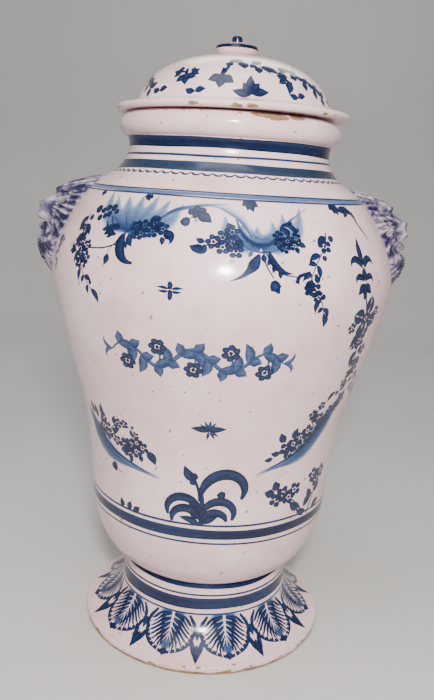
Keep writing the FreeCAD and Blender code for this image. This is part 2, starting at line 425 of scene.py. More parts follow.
class Pen:
    """A brush at one side of the jar; side is -1 to draw everything mirrored."""

    def __init__(self, sheet, centre=0.0, side=1, seed=7):
        self.sheet, self.centre, self.side = sheet, centre, side
        self.chance = random.Random(seed)

    def spot(self, turn, level):
        return (ROLL * math.radians(self.centre + self.side * turn), self.sheet.wall.level(level))

    def line(self, *places):
        """A path through places that are given as turn and level."""
        return [self.spot(turn, level) for turn, level in places]

    def move(self, spot, right, up):
        stretch = self.sheet.stretch(spot[1] + up / 2)
        return (spot[0] + self.side * right * stretch, spot[1] + up)

    def toward(self, spot, angle, distance):
        way = math.radians(angle)
        return self.move(spot, distance * math.cos(way), distance * math.sin(way))

    def stem(self, spots, width=0.4, ink=0.75):
        self.sheet.brush(spots, (width * 1.7, width * 1.4, width * 1.1), (ink,), parts=3)

    def leaf(self, spot, angle, length, width, bend=0.15, ink=0.95):
        """A pointed leaf, dark at its edges."""
        middle = self.toward(spot, angle, length * 0.5)
        middle = self.toward(middle, angle + 90, length * bend)
        path = [spot, middle, self.toward(spot, angle, length)]
        widths = [BOLD * width * share for share in (0.15, 0.75, 1.0, 0.85, 0.45, 0.0)]
        self.sheet.brush(path, widths, (ink,), LEAFY, parts=3 if length > 9 else 2)

    def curl(self, spot, angle, length, width, turn, ink=0.95, shape=None):
        """A leaf or tendril that turns steadily as it goes."""
        steps = max(5, int(abs(turn) / 25))
        path = [spot]
        for k in range(steps):
            way = angle + turn * ((k + 0.5) / steps) ** 1.3
            path.append(self.toward(path[-1], way, length / steps))
        widths = [width * w for w in (shape or (0.25, 0.8, 1.0, 0.95, 0.7, 0.35, 0.05))]
        self.sheet.brush(path, widths, (ink,), LEAFY if width > 0.7 else EVEN, parts=2)
        return path

    def berry(self, spot, size=1.8, core=0.35):
        self.sheet.blob(spot, BOLD * size, BOLD * size, 0.97, core, sides=8)

    def blossom(self, spot, size=1.9, petals=5, core=0.45):
        """Dabs round a dark dot."""
        first = self.chance.uniform(0, 360)
        size *= 1.12
        for k in range(petals):
            at = self.toward(spot, first + 360 * k / petals, size * 1.55)
            self.sheet.blob(at, size, size * 0.9, 0.95, core + 0.24, sides=8)
        self.sheet.blob(spot, size * 0.55, size * 0.55, 0.98, 0.9, sides=6)

    def leaves(self, *rows):
        """A leaf for each row: turn, level, angle, length, width and how far it bends."""
        for turn, level, *rest in rows:
            self.leaf(self.spot(turn, level), *rest)

    def berries(self, *rows, size=2.0, core=0.75):
        for turn, level, *own in rows:
            self.berry(self.spot(turn, level), *(own or [size]), core)

    def blossoms(self, *rows, size=2.0, petals=5, core=0.45):
        for turn, level, *own in rows:
            self.blossom(self.spot(turn, level), *(own or [size]), petals, core)

    def notched(self, spot, angle, length, width, turn, lobes=3):
        """A curled leaf with teeth along its outer edge."""
        path = self.curl(spot, angle, length, width, turn, 0.98)
        out = -90 if turn > 0 else 90
        for k in range(lobes):
            i = 1 + k * (len(path) - 3) // max(lobes, 1)
            way = angle + turn * (i / len(path)) ** 1.3
            self.leaf(path[i], way + out * 0.55, width * 2.4, width * 0.6, 0, 0.95)

    def spray(self, spots, size=1.0, flowers=(0.45,), pitch=6.0, tail=9.0):
        """A stem with leaves either side that shrink to its tip, and flowers on the way."""
        line = curve(spots, 12)
        self.sheet.brush(line[::6], (0.45 * size, 0.3 * size), (0.8,), parts=3)
        gaps = np.linalg.norm(np.diff(line, axis=0), axis=1)
        run = np.concatenate([[0], np.cumsum(gaps)])
        total = run[-1]
        count = max(2, int(total / (pitch * size)))
        for k in range(count):
            share = (k + 0.4) / count
            x, y = (float(np.interp(share * total, run, line[:, i])) for i in (0, 1))
            ahead = min(share + 0.05, 1.0) * total
            dx = (float(np.interp(ahead, run, line[:, 0])) - x) * self.side
            way = math.degrees(math.atan2(float(np.interp(ahead, run, line[:, 1])) - y, dx))
            shrink = size * (1.1 - 0.45 * share)
            if any(abs(share - f) < 0.5 / count for f in flowers):
                self.blossom((x, y), 1.8 * shrink)
                continue
            hand = 1 if k % 2 else -1
            long = 9.8 * shrink * self.chance.uniform(0.85, 1.15)
            out = way + hand * self.chance.uniform(48, 66)
            self.curl(self.toward((x, y), out, 0.8), out, long, 2.25 * shrink, -55 * hand)
            if k % 2:
                self.leaf((x, y), way - hand * 58, long * 0.7, 1.7 * shrink, -0.1 * hand)
            else:
                self.berry(self.toward((x, y), way - hand * 80, 3.4 * shrink), 1.5 * shrink, 0.6)
        before = line[-4]
        way = math.degrees(math.atan2(line[-1][1] - before[1], (line[-1][0] - before[0]) * self.side))
        self.leaf(tuple(line[-1]), way, tail * size, 1.7 * size, 0.15)


body_sheet = Sheet(body_wall)
lid_sheet = Sheet(lid_wall)
front = Pen(body_sheet)
shrunk = body_sheet.stretch(body_wall.level(300))
print("10 mm round the belly take up", round(10 * shrunk, 1), "on the map")

# %% [markdown]
# ## Rings painted on the wheel
# The painter held a loaded brush still while the jar turned. Wide bands needed several turns, so
# their strength wavers along them. Each ring is one long stroke from the seam at the back round to the
# seam again, and its waver repeats exactly once a turn, so the ends meet. The wide band just under
# the belly is partly painted shade: it also stands for the dark line where the belly overhangs the foot.

# %% Rings
def waver(angle, seed):
    """An uneven hand: three waves that meet again after one turn."""
    slow = math.sin(angle + seed)
    return slow + 0.6 * math.sin(3 * angle + 2 * seed) + 0.4 * math.sin(7 * angle + seed)


def ring(sheet, level, half_width, ink=0.9, seed=0.0, kind=COBALT, across=EVEN, every=6):
    """A band all the way round, wavering a little in height, width and strength."""
    turns = range(-180, 181, every)
    up = sheet.wall.level(level)
    swing = min(0.35, 0.3 * half_width)
    path = [(ROLL * math.radians(t), up + swing * waver(math.radians(t), seed)) for t in turns]
    widths = [half_width * (1 + 0.07 * waver(math.radians(t), seed + 2)) for t in turns]
    inks = [min(ink * (1 + 0.07 * waver(math.radians(t), seed + 4)), 1.0) for t in turns]
    sheet.brush(path, widths, inks, across, kind, parts=2, upright=True)


BANDED = ((-1, 1.0), (-0.45, 0.9), (0.2, 0.97), (0.7, 0.85), (1, 1.0))
THIN_LINES = {32.5: 0.65, 48.0: 0.75, 108.3: 0.85, 123.6: 0.95, 362.6: 0.75, 359.4: 0.75, 386.6: 0.8}
# The band at 55.4 mm, just under the belly, is partly painted shade: besides a painted band, it stands for
# the dark line where the belly overhangs the foot.
WIDE_BANDS = {40.8: 4.6, 55.4: 2.6, 116.0: 4.2, 395.4: 4.0}
for seed, (level, half) in enumerate(THIN_LINES.items()):
    ring(body_sheet, level, half, 0.72, seed)
for seed, (level, half) in enumerate(WIDE_BANDS.items()):
    ring(body_sheet, level, half, 0.92, seed + 0.5, across=BANDED)
ring(body_sheet, 361.0, 1.6, 0.4, 3.3)
for kind, ink in ((BLACKISH, 0.95), (COBALT, 0.8)):
    ring(body_sheet, 378.6, 4.2, ink, 1.7, kind, BANDED)

ROPE_TURNS, ROPE_LEVEL = 74, 374.9
for k in range(ROPE_TURNS):
    start = front.spot(360 * k / ROPE_TURNS - 180, ROPE_LEVEL)
    path = [start] + [front.move(start, *step) for step in ((2.4, -2.2), (5.4, -2.3), (7.4, 0))]
    for kind, ink in ((COBALT, 0.7), (BLACKISH, 0.45)):
        body_sheet.brush(path, (0.5, 1.1, 0.9, 0.4), (ink,), kind=kind, parts=2)
print("the rings took", body_sheet.count, "corners")

# %% [markdown]
# ## Garlands under the shoulder
# Two shells hang from the double line on the front: a pale wash spreads up from each into long horns
# that join over the middle, dark berries and curled leaves crowd their feet, and sprays hang from
# them. Further round, a festoon of flowers hangs beside each mask. The half of the jar that nobody
# was meant to see gets the same scheme again.

# %% Tufts and washes
def tuft(pen, turn, level=358.6, size=1.0):
    """A few dabs that hang from the line."""
    top = pen.spot(turn, level)
    for angle, long in ((-140, 5.5), (-100, 6.5), (-75, 7.5), (-40, 6.0)):
        pen.leaf(top, angle, long * size, 1.7 * size, 0)


def wash_fan(pen, foot, tips, width, ink=0.5):
    """Soft overlapping strokes that spread from a shell's foot to its tips."""
    width *= 1.45
    for tip, swell in tips:
        middle = ((foot[0] + tip[0]) / 2, (foot[1] + tip[1]) / 2)
        middle = pen.move(middle, swell, -abs(swell) * 0.5)
        widths = (0.35 * width, 1.0 * width, 0.9 * width, 0.45 * width, 0.1)
        body_sheet.brush([foot, middle, tip], widths, (ink * 1.4, ink, ink * 0.75, 0.35), SOFT, parts=4)

# %% The left shell
def left_shell(pen):
    """The shell on the left, with its berries, curled leaves and hanging spray."""
    spot = pen.spot
    heart = spot(-34, 335)
    tips = [(spot(-49, 359.5), -7), (spot(-44, 356), -4), (spot(-39, 357), -1), (spot(-33, 358), 1)]
    tips += [(spot(-27, 358.5), 3), (spot(-22, 356.5), 5), (spot(-17, 354.5), 8)]
    wash_fan(pen, heart, tips, 7.0, 0.52)
    for turn, level, swell in ((-45, 357.5, -6), (-41, 352, -3.5), (-36.5, 355, -2)):
        tip = spot(turn, level)
        middle = pen.move(((heart[0] + tip[0]) / 2, (heart[1] + tip[1]) / 2), swell, -3)
        body_sheet.brush([heart, middle, tip], (2.0, 1.7, 0.4), (0.75, 0.6, 0.2), SOFT)
    rim = [heart, spot(-28.5, 338.5), spot(-24, 344), spot(-19, 350.5), spot(-11, 354), spot(-2, 356)]
    body_sheet.brush(rim, (2.2, 2.1, 2.0, 2.3, 2.0, 0.8), (0.8, 0.65, 0.6, 0.65, 0.55, 0.25), SOFT)
    arc = pen.line((-14, 354.5), (-6, 355.5), (-1, 352.5), (3, 347), (6, 337))
    body_sheet.brush(arc, (1.2, 2.7, 3.8, 3.6, 1.8), (0.3, 0.44, 0.52, 0.62, 0.75), ONE_SIDED)
    pen.berries((-51, 346.5, 2.6), (-48.2, 346, 1.9), (-46.2, 348, 2.0), (-44.5, 344, 1.9), core=0.8)
    pen.berries((-48.5, 341, 2.0), (-43.5, 348.5, 2.2), (-46.3, 342.5, 1.7), (-41.5, 346, 1.6), core=0.75)
    pen.stem([spot(-42.5, 343), spot(-40.5, 337.5), heart], 0.35)
    pen.notched(spot(-38, 331.5), 175, 17, 2.4, -75, 3)
    pen.notched(spot(-37, 336), 178, 12, 2.0, 40, 3)
    pen.curl(spot(-35, 332.5), -103, 27, 3.1, 110, 0.98, shape=(0.5, 1.2, 1.3, 1.2, 0.9, 0.5, 0.25))
    pen.leaves((-34.5, 327, -40, 6, 1.4), (-33, 333, -62, 10, 2.1, -0.1), (-32.3, 334, -35, 7, 1.7, -0.1))
    pen.blossoms(
        (-28.5, 339), (-25, 341), (-28.8, 334), (-25.2, 335.6), (-22, 338), (-31.2, 338),
        size=1.75, core=0.55,
    )
    pen.leaves((-24.5, 337, 45, 8, 1.9), (-27, 341.5, 25, 9, 2.0))
    pen.curl(spot(-21.5, 334.5), 15, 11, 2.9, -150, 1.0, shape=(0.3, 1.0, 1.2, 1.1, 0.7, 0.35, 0.1))
    pen.leaf(spot(-22, 333), -75, 6, 1.6)
    pen.stem([heart, spot(-36, 327), spot(-41, 322.5), spot(-47, 321)], 0.45)
    pen.stem(pen.line((-35, 333), (-37.5, 326), (-39.5, 319.5)), 0.25, 0.6)
    pen.leaf(spot(-39, 319), -95, 8, 2.2, 0.05)
    pen.curl(spot(-39.7, 313), -110, 4.5, 0.35, 90, 0.9)
    hanging = ((-55, 343), (-54.5, 335), (-52.5, 322), (-50, 310), (-46.5, 300), (-44, 294))
    pen.spray(pen.line(*hanging), 1.15, (0.42,), 5.4, 10)
    pen.notched(spot(-54, 317), 172, 11, 2.2, -70, 2)
    pen.blossoms((-51, 318), (-49, 322), (-48, 314), (-51, 310.5), (-54.5, 324), (-53, 331), size=1.75)

# %% The right shell
def right_shell(pen):
    """The deeper shell on the right, with flowers either side and two hanging sprays."""
    spot = pen.spot
    heart = spot(8, 330.5)
    tips = [(spot(-3, 349), -8), (spot(3, 346), -6), (spot(7, 343), -1), (spot(12, 347), 5)]
    tips += [(spot(16, 352), 6), (spot(23, 356), 8), (spot(19, 350), 8)]
    wash_fan(pen, heart, tips, 6.8, 0.5)
    cup = pen.line((0.5, 347), (2.6, 338), (6, 332.5), (10.5, 332.5), (14, 339), (17, 346))
    widths = (0.7, 2.2, 2.6, 2.6, 2.2, 1.4, 0.3)
    body_sheet.brush(cup + [spot(27, 357)], widths, (0.5, 0.8, 0.85, 0.8, 0.7, 0.6, 0.25), SOFT)
    inner = pen.line((5, 343), (6.5, 336.5), (10, 336), (12.5, 343))
    body_sheet.brush(inner, (0.5, 1.6, 1.6, 0.5), (0.3, 0.6, 0.6, 0.25), SOFT)
    pen.stem(pen.line((1, 337), (3.5, 330.5), (8.5, 327.5), (14, 330)), 0.45, 0.6)
    pen.blossoms(
        (-0.6, 339), (-3.4, 335.4), (-0.4, 332.4), (-6, 332.6), (-3.2, 329.6), (0.6, 327.6),
        size=1.95, core=0.35,
    )
    pen.leaves((1.4, 336, -70, 9, 2.0, -0.1), (-1, 341, 120, 5, 1.8, 0))
    pen.stem(pen.line((-5, 331), (-9, 330)), 0.4)
    pen.curl(spot(-8.2, 330), -105, 8, 2.6, -70, 0.9)
    pen.leaves((-8.5, 329, 178, 10, 2.4, 0.15), (-8.5, 332, 160, 6.5, 1.6, 0.05))
    pen.blossoms(
        (13.6, 338), (16.4, 335), (15.4, 330.8), (18.6, 332.4), (19.4, 337), (13.8, 333.5),
        size=1.5, core=0.6,
    )
    pen.curl(spot(17, 338), 95, 9, 2.3, 120, 0.98)
    pen.notched(spot(19.5, 338), 85, 19, 1.9, 190, 2)
    pen.leaves((20, 334, -25, 6, 1.7, 0), (19, 331.5, -70, 5, 1.5, 0))
    pen.curl(spot(7.5, 326.5), -112, 27, 2.6, -55, 0.9, shape=(0.3, 1.2, 1.5, 0.8, 0.5, 0.3, 0.1))
    pen.leaf(spot(6, 321.5), -135, 7, 1.7, 0)
    pen.notched(spot(10.4, 328.5), -78, 24, 2.4, 85, 3)
    pen.leaves((8.6, 326.5, -80, 6, 1.6, 0), (5.5, 328, -125, 5, 1.2, 0, 0.6))
    pen.stem(pen.line((8.7, 329), (9.4, 320), (11.6, 312)), 0.4, 0.6)
    pen.stem(pen.line((9.3, 329), (11, 320.5), (14, 315), (18.5, 313)), 0.4, 0.6)
    pen.berry(spot(12, 307.2), 2.9, 0.6)
    pen.leaf(spot(12.4, 306), -60, 4.4, 1.4, 0)
    upper = ((31, 341), (29.6, 333), (27, 326), (24.4, 318), (23, 311))
    lower = ((23, 314), (24.4, 304), (27, 296), (28, 289))
    for path in (upper, lower):
        pen.spray(pen.line(*path), 1.15, (0.35,), 5.6, 9)
    pen.stem(pen.line((18.5, 309), (19.4, 313.6), (23, 316)), 0.9, 0.85)
    pen.blossom(spot(22.4, 305), 1.6)
    pen.blossom(spot(25.6, 300), 1.6)

# %% Between and beside the shells
def middle_tuft(pen):
    """The berries and the leaf that hang between the shells."""
    spot = pen.spot
    pen.berries((-14, 350, 2.0), (-12.3, 352, 2.1), (-10.4, 351, 2.0), (-12.3, 348.6, 2.2), core=0.75)
    pen.leaf(spot(-12, 349), -30, 12, 3.1, 0.05)
    pen.berry(spot(-15.3, 343.6), 2.6, 0.65)
    pen.curl(spot(-14.6, 345.3), 40, 8, 0.4, -120, 0.85)


def festoon(pen):
    """The chain of flowers that hangs beside a mask."""
    spot = pen.spot
    pen.leaves((44.6, 358, -150, 9, 2.4), (44.6, 358, -110, 10, 2.4), (44.6, 358, -60, 9, 2.2))
    pen.curl(spot(46, 356.5), -35, 14, 1.9, -55, 0.95)
    pen.curl(spot(47.5, 352), -62, 26, 0.9, 14, 0.85)
    for angle, turn in ((105, 165), (75, -165)):
        start = pen.move(spot(45, 318), -1.5 if turn > 0 else 1.5, 0)
        pen.curl(start, angle, 18, 2.9, turn, 0.98)
        pen.curl(pen.move(start, 0, -9), angle + turn * 0.1, 13, 2.4, turn, 0.98)
    pen.leaves((45, 320, 90, 20, 2.4, 0.05), (45, 318, -90, 10, 2.4, 0))
    for angle in (-135, -90, -45):
        pen.leaf(pen.toward(spot(45, 308), angle, 1.0), angle, 10.5, 2.5, 0)
    pen.berry(spot(45.2, 298.5), 1.8, 0.5)
    hub = spot(48.4, 282)
    for k in range(8):
        pen.curl(pen.toward(hub, 45 * k + 10, 4.5), 45 * k + 10, 13.5, 2.9, 75 if k % 2 else -75)
    pen.blossom(hub, 2.1, 6)
    pen.blossoms((42.2, 276), (54.2, 286), size=1.7)
    pen.stem(pen.line((45.2, 300), (46.8, 292), (48.4, 284)), 0.5)
    chain = pen.line((49, 276), (49.6, 262), (51, 250), (54.5, 238), (59, 228), (63, 220))
    pen.spray(chain, 1.45, (0.2, 0.55), 5.6, 12)
    pen.blossoms((46.8, 263), (54, 257), (51, 238), size=1.8)


def side_leaves(pen):
    """Loose sprigs at the edge of the scene, just short of the other mask."""
    spot = pen.spot
    pen.spray(pen.line((-68, 326), (-69.5, 316), (-69, 305)), 1.0, (0.4,), 4.5, 6)
    pen.spray(pen.line((-84, 284), (-87, 273), (-88, 262)), 1.1, (0.5,), 4.5, 7)
    pen.spray(pen.line((-95, 258), (-97, 250), (-96, 240)), 1.0, (), 4.5, 6)

# %% Paint the garlands, front and back
for centre in (0, 180):
    pen = Pen(body_sheet, centre, 1, 11 + centre)
    left_shell(pen)
    right_shell(pen)
    middle_tuft(pen)
    festoon(pen)
    side_leaves(pen)
    for turn, size in ((-55, 0.7), (-31, 0.8), (5, 1.2), (39, 1.2)):
        tuft(pen, turn, size=size)
print("with the garlands, the paint has", body_sheet.count, "corners")

# %% [markdown]
# ## The lower half
# Two long plumes with flowers lean in from the sides, and plants grow from the double ring under
# them. A bee and a fly fill the empty ground. Where the jar names its contents, this one has a plain
# scroll of leaves in a lighter blue, so that it suits any shelf.

# %% A plume
def plume(pen, root, heel, tip, tail_width=8.5):
    """A long pale feather with a dark spine, from its root round to its tip."""
    spot = pen.spot
    path = pen.line(root, heel, tip)
    below = [pen.move(p, 0, -drop) for p, drop in zip(path, (3.5, 4.5, 0.5))]
    widths = (0.6, 1.3 * tail_width, 1.1 * tail_width, 2.0, 0.1)
    body_sheet.brush(below, widths, (0.66, 0.68, 0.58, 0.4), SOFT, parts=8)
    body_sheet.brush(path, (0.8, 3.0, 2.4, 1.3, 0.2), (0.85, 0.95, 0.85, 0.6), SOFT, parts=8)
    for k in range(9):
        share = 0.1 + 0.085 * k
        line = curve(path, 20)
        start = tuple(line[int(share * (len(line) - 1))])
        later = tuple(line[min(int((share + 0.3) * (len(line) - 1)), len(line) - 1)])
        end = pen.move(later, 0, -7 + 7 * share)
        body_sheet.brush([start, end], (0.9, 0.5, 0.1), (0.7, 0.35), SOFT, parts=4)

# %% Flowers beside the plumes
def lower_left(pen):
    """The left plume, with its flowers on the pale side."""
    spot = pen.spot
    plume(pen, (-66, 196), (-50, 171), (-23.5, 157))
    pen.blossoms((-53, 186, 2.3), (-50, 181, 2.0), (-55.5, 180, 2.0))
    pen.blossoms((-40.5, 176, 2.4), (-37, 178.5, 2.2), (-38.5, 172.5, 2.2), (-34.5, 174, 2.0), core=0.35)
    pen.blossom(spot(-31.2, 178.4), 1.9)
    pen.leaf(spot(-29.5, 176), -52, 12, 3.0, 0.12)
    pen.curl(spot(-25.4, 166.4), -60, 4.5, 0.4, -120, 0.9)
    pen.leaves((-32.5, 172, -80, 6, 1.8, 0), (-37, 169, -100, 6, 1.6, 0))
    for turn, level, angle, long in ((-57, 190, 100, 12), (-53, 192, 88, 13), (-60, 192, 105, 11)):
        pen.leaf(spot(turn, level), angle, long, 2.4, 0.05)
    top = pen.line((-49, 184), (-45.5, 190), (-41, 194), (-36, 191), (-33, 184))
    pen.spray(top, 0.95, (0.35, 0.6, 0.85), 6.0, 6)
    pen.blossoms((-45, 178), (-52.5, 193), (-34, 181), size=1.7, core=0.4)
    pen.stem(pen.line((-52, 178), (-45, 184), (-42.5, 190)), 0.45)
    pen.berry(spot(-48, 155), 2.8, 0.75)
    pen.curl(spot(-46.3, 153.5), -15, 9, 0.35, 25, 0.8)


def lower_right(pen):
    """The right plume, with flowers all the way up it."""
    spot = pen.spot
    plume(pen, (54, 226), (37, 184), (16, 165))
    pen.blossoms((28, 184, 2.3), (31, 187, 2.2), (29.5, 180.5, 2.0), (43.5, 200, 2.3), (46.5, 203, 2.2))
    pen.blossoms(
        (41.5, 205, 2.0), (52.5, 217, 2.3), (50.5, 212, 2.0), (34, 192, 2.1), (37, 196, 2.1),
        core=0.35,
    )
    pen.leaves((27, 190, 125, 10, 2.5, 0.1), (31, 191, 85, 10, 2.4, 0.1), (25.5, 181, 175, 8, 2.0, 0.1))
    pen.spray(pen.line((40, 199), (37, 206), (39, 213), (43, 219)), 1.1, (0.4, 0.7), 6.2, 9)
    pen.spray(pen.line((50, 221), (49, 229), (51, 236)), 1.1, (0.5,), 6.2, 8)
    pen.blossoms((34, 184), (38.5, 190), (47, 210), size=1.8, core=0.4)
    pen.leaf(spot(22.5, 177.5), 190, 7, 1.7, 0.1)

# %% Plants
def acanthus_plant(pen, foot, size=1.0):
    """Curled fronds that rise from the ring in pairs."""
    base = pen.spot(*foot)
    grow = (0.3, 0.85, 1.1, 1.15, 1.0, 0.8, 0.3)

    def at(right, up):
        return pen.move(base, right * size, up * size)

    stem = [base, at(0.5, 16), at(-1, 30)]
    body_sheet.brush(stem, (1.6 * size, 1.9 * size, 1.5 * size), (0.95,), LEAFY)
    pen.curl(at(-1, 24), 82, 58 * size, 3.9 * size, -205, 0.97, shape=grow)
    for side, level, long, swing in ((1, 10, 40, 190), (-1, 11, 42, 185), (-1, 4, 34, 175), (1, 3, 26, 150)):
        first = 68 if side > 0 else 112
        pen.curl(at(0, level), first, long * size, 3.1 * size, -side * swing, 0.97, shape=grow)
    for side, level, angle, long in ((-1, 12, 140, 13), (-1, 2, 165, 16), (1, 2, 30, 14), (-1, 6, 150, 10)):
        pen.leaf(pen.move(base, side, level * size), angle, long * size, 2.2 * size, 0.05 * side)
    pen.leaf(at(-5, 33), 130, 7 * size, 2.2 * size, 0)
    pen.leaf(at(-5, 36), 125, 15 * size, 3.0 * size, 0.1)
    pen.stem([at(-1, 20), at(-2.6, 29), at(-6, 38.5)], 0.85 * size, 0.9)
    pen.berry(at(-6, 40), 2.2 * size, 0.75)
    pen.berry(at(14, 26), 2.5 * size, 0.75)


def flower_plant(pen):
    """Flowers on two leafy stems at the right, and a few leaves far out on the left."""
    spot = pen.spot
    pen.stem(pen.line((45, 121), (42, 130), (36, 139)), 0.5)
    pen.stem(pen.line((48, 121), (51, 134), (53, 147)), 0.5)
    pen.blossoms(
        (34, 142), (30.5, 146), (37, 147), (52, 149), (55.5, 154), (49, 154), (27.5, 142),
        size=2.4,
    )
    pen.leaves((42, 130, 150, 14, 3.0, 0.1), (45, 129, 40, 14, 3.0, 0.1))
    pen.leaves((26, 148, 170, 9, 3.0, 0.1), (28, 150, 120, 9, 3.0, 0.1))
    pen.leaves((50, 136, 130, 10, 2.5, 0.1), (52, 138, 35, 10, 2.5, 0.1))
    pen.leaves((47, 124, 160, 13, 2.5, 0.1), (52, 124, 20, 13, 2.5, 0.1))
    pen.leaves((-43, 123.5, 110, 8, 2.2, 0), (-40, 123.5, 70, 8, 2.2, 0), (-37, 123.5, 40, 8, 2.2, 0))

# %% Insects and the scroll
def bee(pen, turn, level):
    """A head, a striped body's dab and four thin wings."""
    middle = pen.spot(turn, level)
    body_sheet.blob(pen.move(middle, 0, 2.8), 1.9, 2.7)
    body_sheet.blob(pen.move(middle, 0.3, -3.4), 1.8, 3.6)
    for side in (-1, 1):
        pen.curl(pen.move(middle, side, 0.5), 90 - side * 75, 8.5, 1.0, -side * 25)
        pen.curl(pen.move(middle, side, -1), 90 - side * 100, 7.5, 1.0, side * 25)


def fly(pen, turn, level):
    """Two long wings and seven legs round one point."""
    middle = pen.spot(turn, level)
    pen.leaf(pen.move(middle, 1.5, 0), 176, 15, 2.1, 0)
    pen.leaf(pen.move(middle, -1.5, 0.3), 6, 14, 2.0, 0)
    for angle in (55, 85, 115, 145, -60, -100, -35):
        pen.leaf(pen.toward(middle, angle, 1), angle, 7.5, 0.9, 0, 0.8)


def label_scroll(pen, level=254.0):
    """Leaves on a waving stem, as long as a drug's name would be, in a thinner blue."""
    first, last, waves = -38, 18, 2.5
    count = 40
    stem, ways = [], []
    for k in range(count + 1):
        phase = 2 * math.pi * waves * k / count
        stem.append(pen.spot(first + (last - first) * k / count, level + 7.5 * math.sin(phase)))
    body_sheet.brush(stem, (0.6, 1.5, 1.7, 1.5, 0.6), (0.66,), LEAFY, parts=2)
    for k in range(2, count - 1, 3):
        slope = math.degrees(math.atan2(stem[k + 1][1] - stem[k][1], stem[k + 1][0] - stem[k][0]))
        for side in (-1, 1):
            long = 15.5 if side * math.sin(2 * math.pi * waves * k / count) < 0 else 9.5
            pen.leaf(stem[k], slope + side * 52, long, 2.9, -0.14 * side, 0.68)
    for k in range(4, count - 1, 8):
        up = -1 if math.sin(2 * math.pi * waves * k / count) > 0 else 1
        at = pen.move(stem[k], 0, 15.0 * up)
        pen.stem([stem[k], pen.move(stem[k], 1.5, 8 * up), at], 0.5, 0.6)
        pen.blossom(at, 2.4, 6, 0.4)
    for end, angle in ((stem[0], 180), (stem[-1], 0)):
        for turn in (-120, 120):
            pen.curl(end, angle, 13, 1.6, turn, 0.64)

# %% Paint the lower half, front and back
for centre in (0, 180):
    pen = Pen(body_sheet, centre, 1, 23 + centre)
    lower_left(pen)
    lower_right(pen)
    acanthus_plant(pen, (-5.5, 123))
    flower_plant(pen)
    bee(pen, -17, 301)
    fly(pen, -4, 201)
    acanthus_plant(Pen(body_sheet, centre + 88, -1, 5), (0, 123), 0.85)
label_scroll(front)
acanthus_plant(Pen(body_sheet, 176, 1, 9), (0, 236), 1.1)
print("with the lower half, the paint has", body_sheet.count, "corners")

# %% [markdown]
# ## The foot's leaves
# Eleven broad leaves hang over the spreading foot with a small pointed one between each two. A leaf
# is a fan: dark lobes run out from its midrib and end in teeth, with thinner paint between them and
# pale scratches along them. One function draws a leaf, and a loop walks it round the foot.

# %% Leaves of the foot
FOOT_LEAVES = 11
FIRST_FOOT_LEAF = -20.5


def foot_leaf(pen, turn):
    """A pale fan with eight dark lobes a side, scratched veins and a pointed tip."""
    top = pen.spot(turn, 31.6)
    tip = pen.spot(turn, 8.8)
    long = top[1] - tip[1]

    def at(right, down):
        return pen.move(top, right, -down * long)

    midrib = [at(0, -0.02), at(0, 0.5), at(0, 0.93)]
    body_sheet.brush(midrib, (13, 17.5, 18, 14.5, 8, 1.0), (0.6,), SOFT, parts=5)
    for side in (-1, 1):
        for k in range(8):
            share = k / 7
            start = at(side * (0.6 + 1.5 * share), 0.03 + 0.5 * share)
            bend = at(side * (9.5 - 5.0 * share), 0.12 + 0.62 * share)
            reach = 17.5 + 1.6 * math.sin(math.pi * share) - 12.5 * share**2
            end = at(side * reach, 0.30 + 0.66 * share)
            widths = (0.6, 1.4, 2.1, 2.1, 1.1, 0.1)
            body_sheet.brush([start, bend, end], widths, (0.82, 0.92, 0.97), LEAFY, parts=3)
            mark = at(side * (reach * 0.93), 0.37 + 0.62 * share)
            body_sheet.brush([bend, mark], (0.1, 0.55, 0.4), (0.85,), kind=LIFT, parts=2)
        outline = ((13.5, 0.02), (18.6, 0.27), (18, 0.52), (12.4, 0.8), (0, 1.0))
        edge = [at(side * right, down) for right, down in outline]
        body_sheet.brush(edge, (0.9, 1.6, 1.2, 1.9, 1.7, 1.1), (0.9,), LEAFY, parts=5)
    for k in range(5):
        share = k / 4
        for side in (-1, 1):
            start = at(side * 0.5, 0.1 + 0.42 * share)
            end = at(side * (6.2 - 3 * share), 0.16 + 0.56 * share)
            body_sheet.brush([start, end], (0.5, 0.3, 0.1), (0.8,), kind=LIFT, parts=2)
    body_sheet.brush([at(0, 0.0), at(0, 0.3), at(0, 0.72)], (1.1, 0.7, 0.1), (0.9,), kind=LIFT)
    pen.leaf(at(0, 0.86), -90, 0.2 * long, 2.6, 0)


def small_foot_leaf(pen, turn):
    """The pointed leaf between two broad ones."""
    top = pen.spot(turn, 14.5)
    for side in (-1, 1):
        pen.curl(pen.move(top, side * 4.6, 3.5), -90 - side * 12, 19, 2.1, -side * 8, 0.95)
        pen.curl(pen.move(top, side * 2.2, 9), -90 + side * 30, 9, 1.2, side * 10, 0.9)
    pen.leaf(pen.move(top, 0, -1), -90, 15.5, 2.4, 0, 0.9)
    pen.leaf(pen.move(top, 0, 12), -90, 10, 1.7, 0, 0.85)


for k in range(FOOT_LEAVES):
    turn = FIRST_FOOT_LEAF + 360 * k / FOOT_LEAVES
    turn = (turn + 180) % 360 - 180
    foot_leaf(front, turn)
    small_foot_leaf(front, turn + 180 / FOOT_LEAVES)
print("with the foot's leaves, the paint has", body_sheet.count, "corners")

# %% [markdown]
# ## The lid
# Loose sprigs are scattered over the dome, and a garland wanders round below the knob.

# %% Sprigs on the lid
def trefoil(pen, spot, angle, size=1.0):
    """Three leaves on a short stem."""
    size *= 1.3
    for part in (-62, 0, 62):
        pen.leaf(spot, angle + part, 7.5 * size, 2.2 * size, 0)
    pen.stem([spot, pen.toward(spot, angle + 180, 6 * size)], 0.8 * size, 0.9)


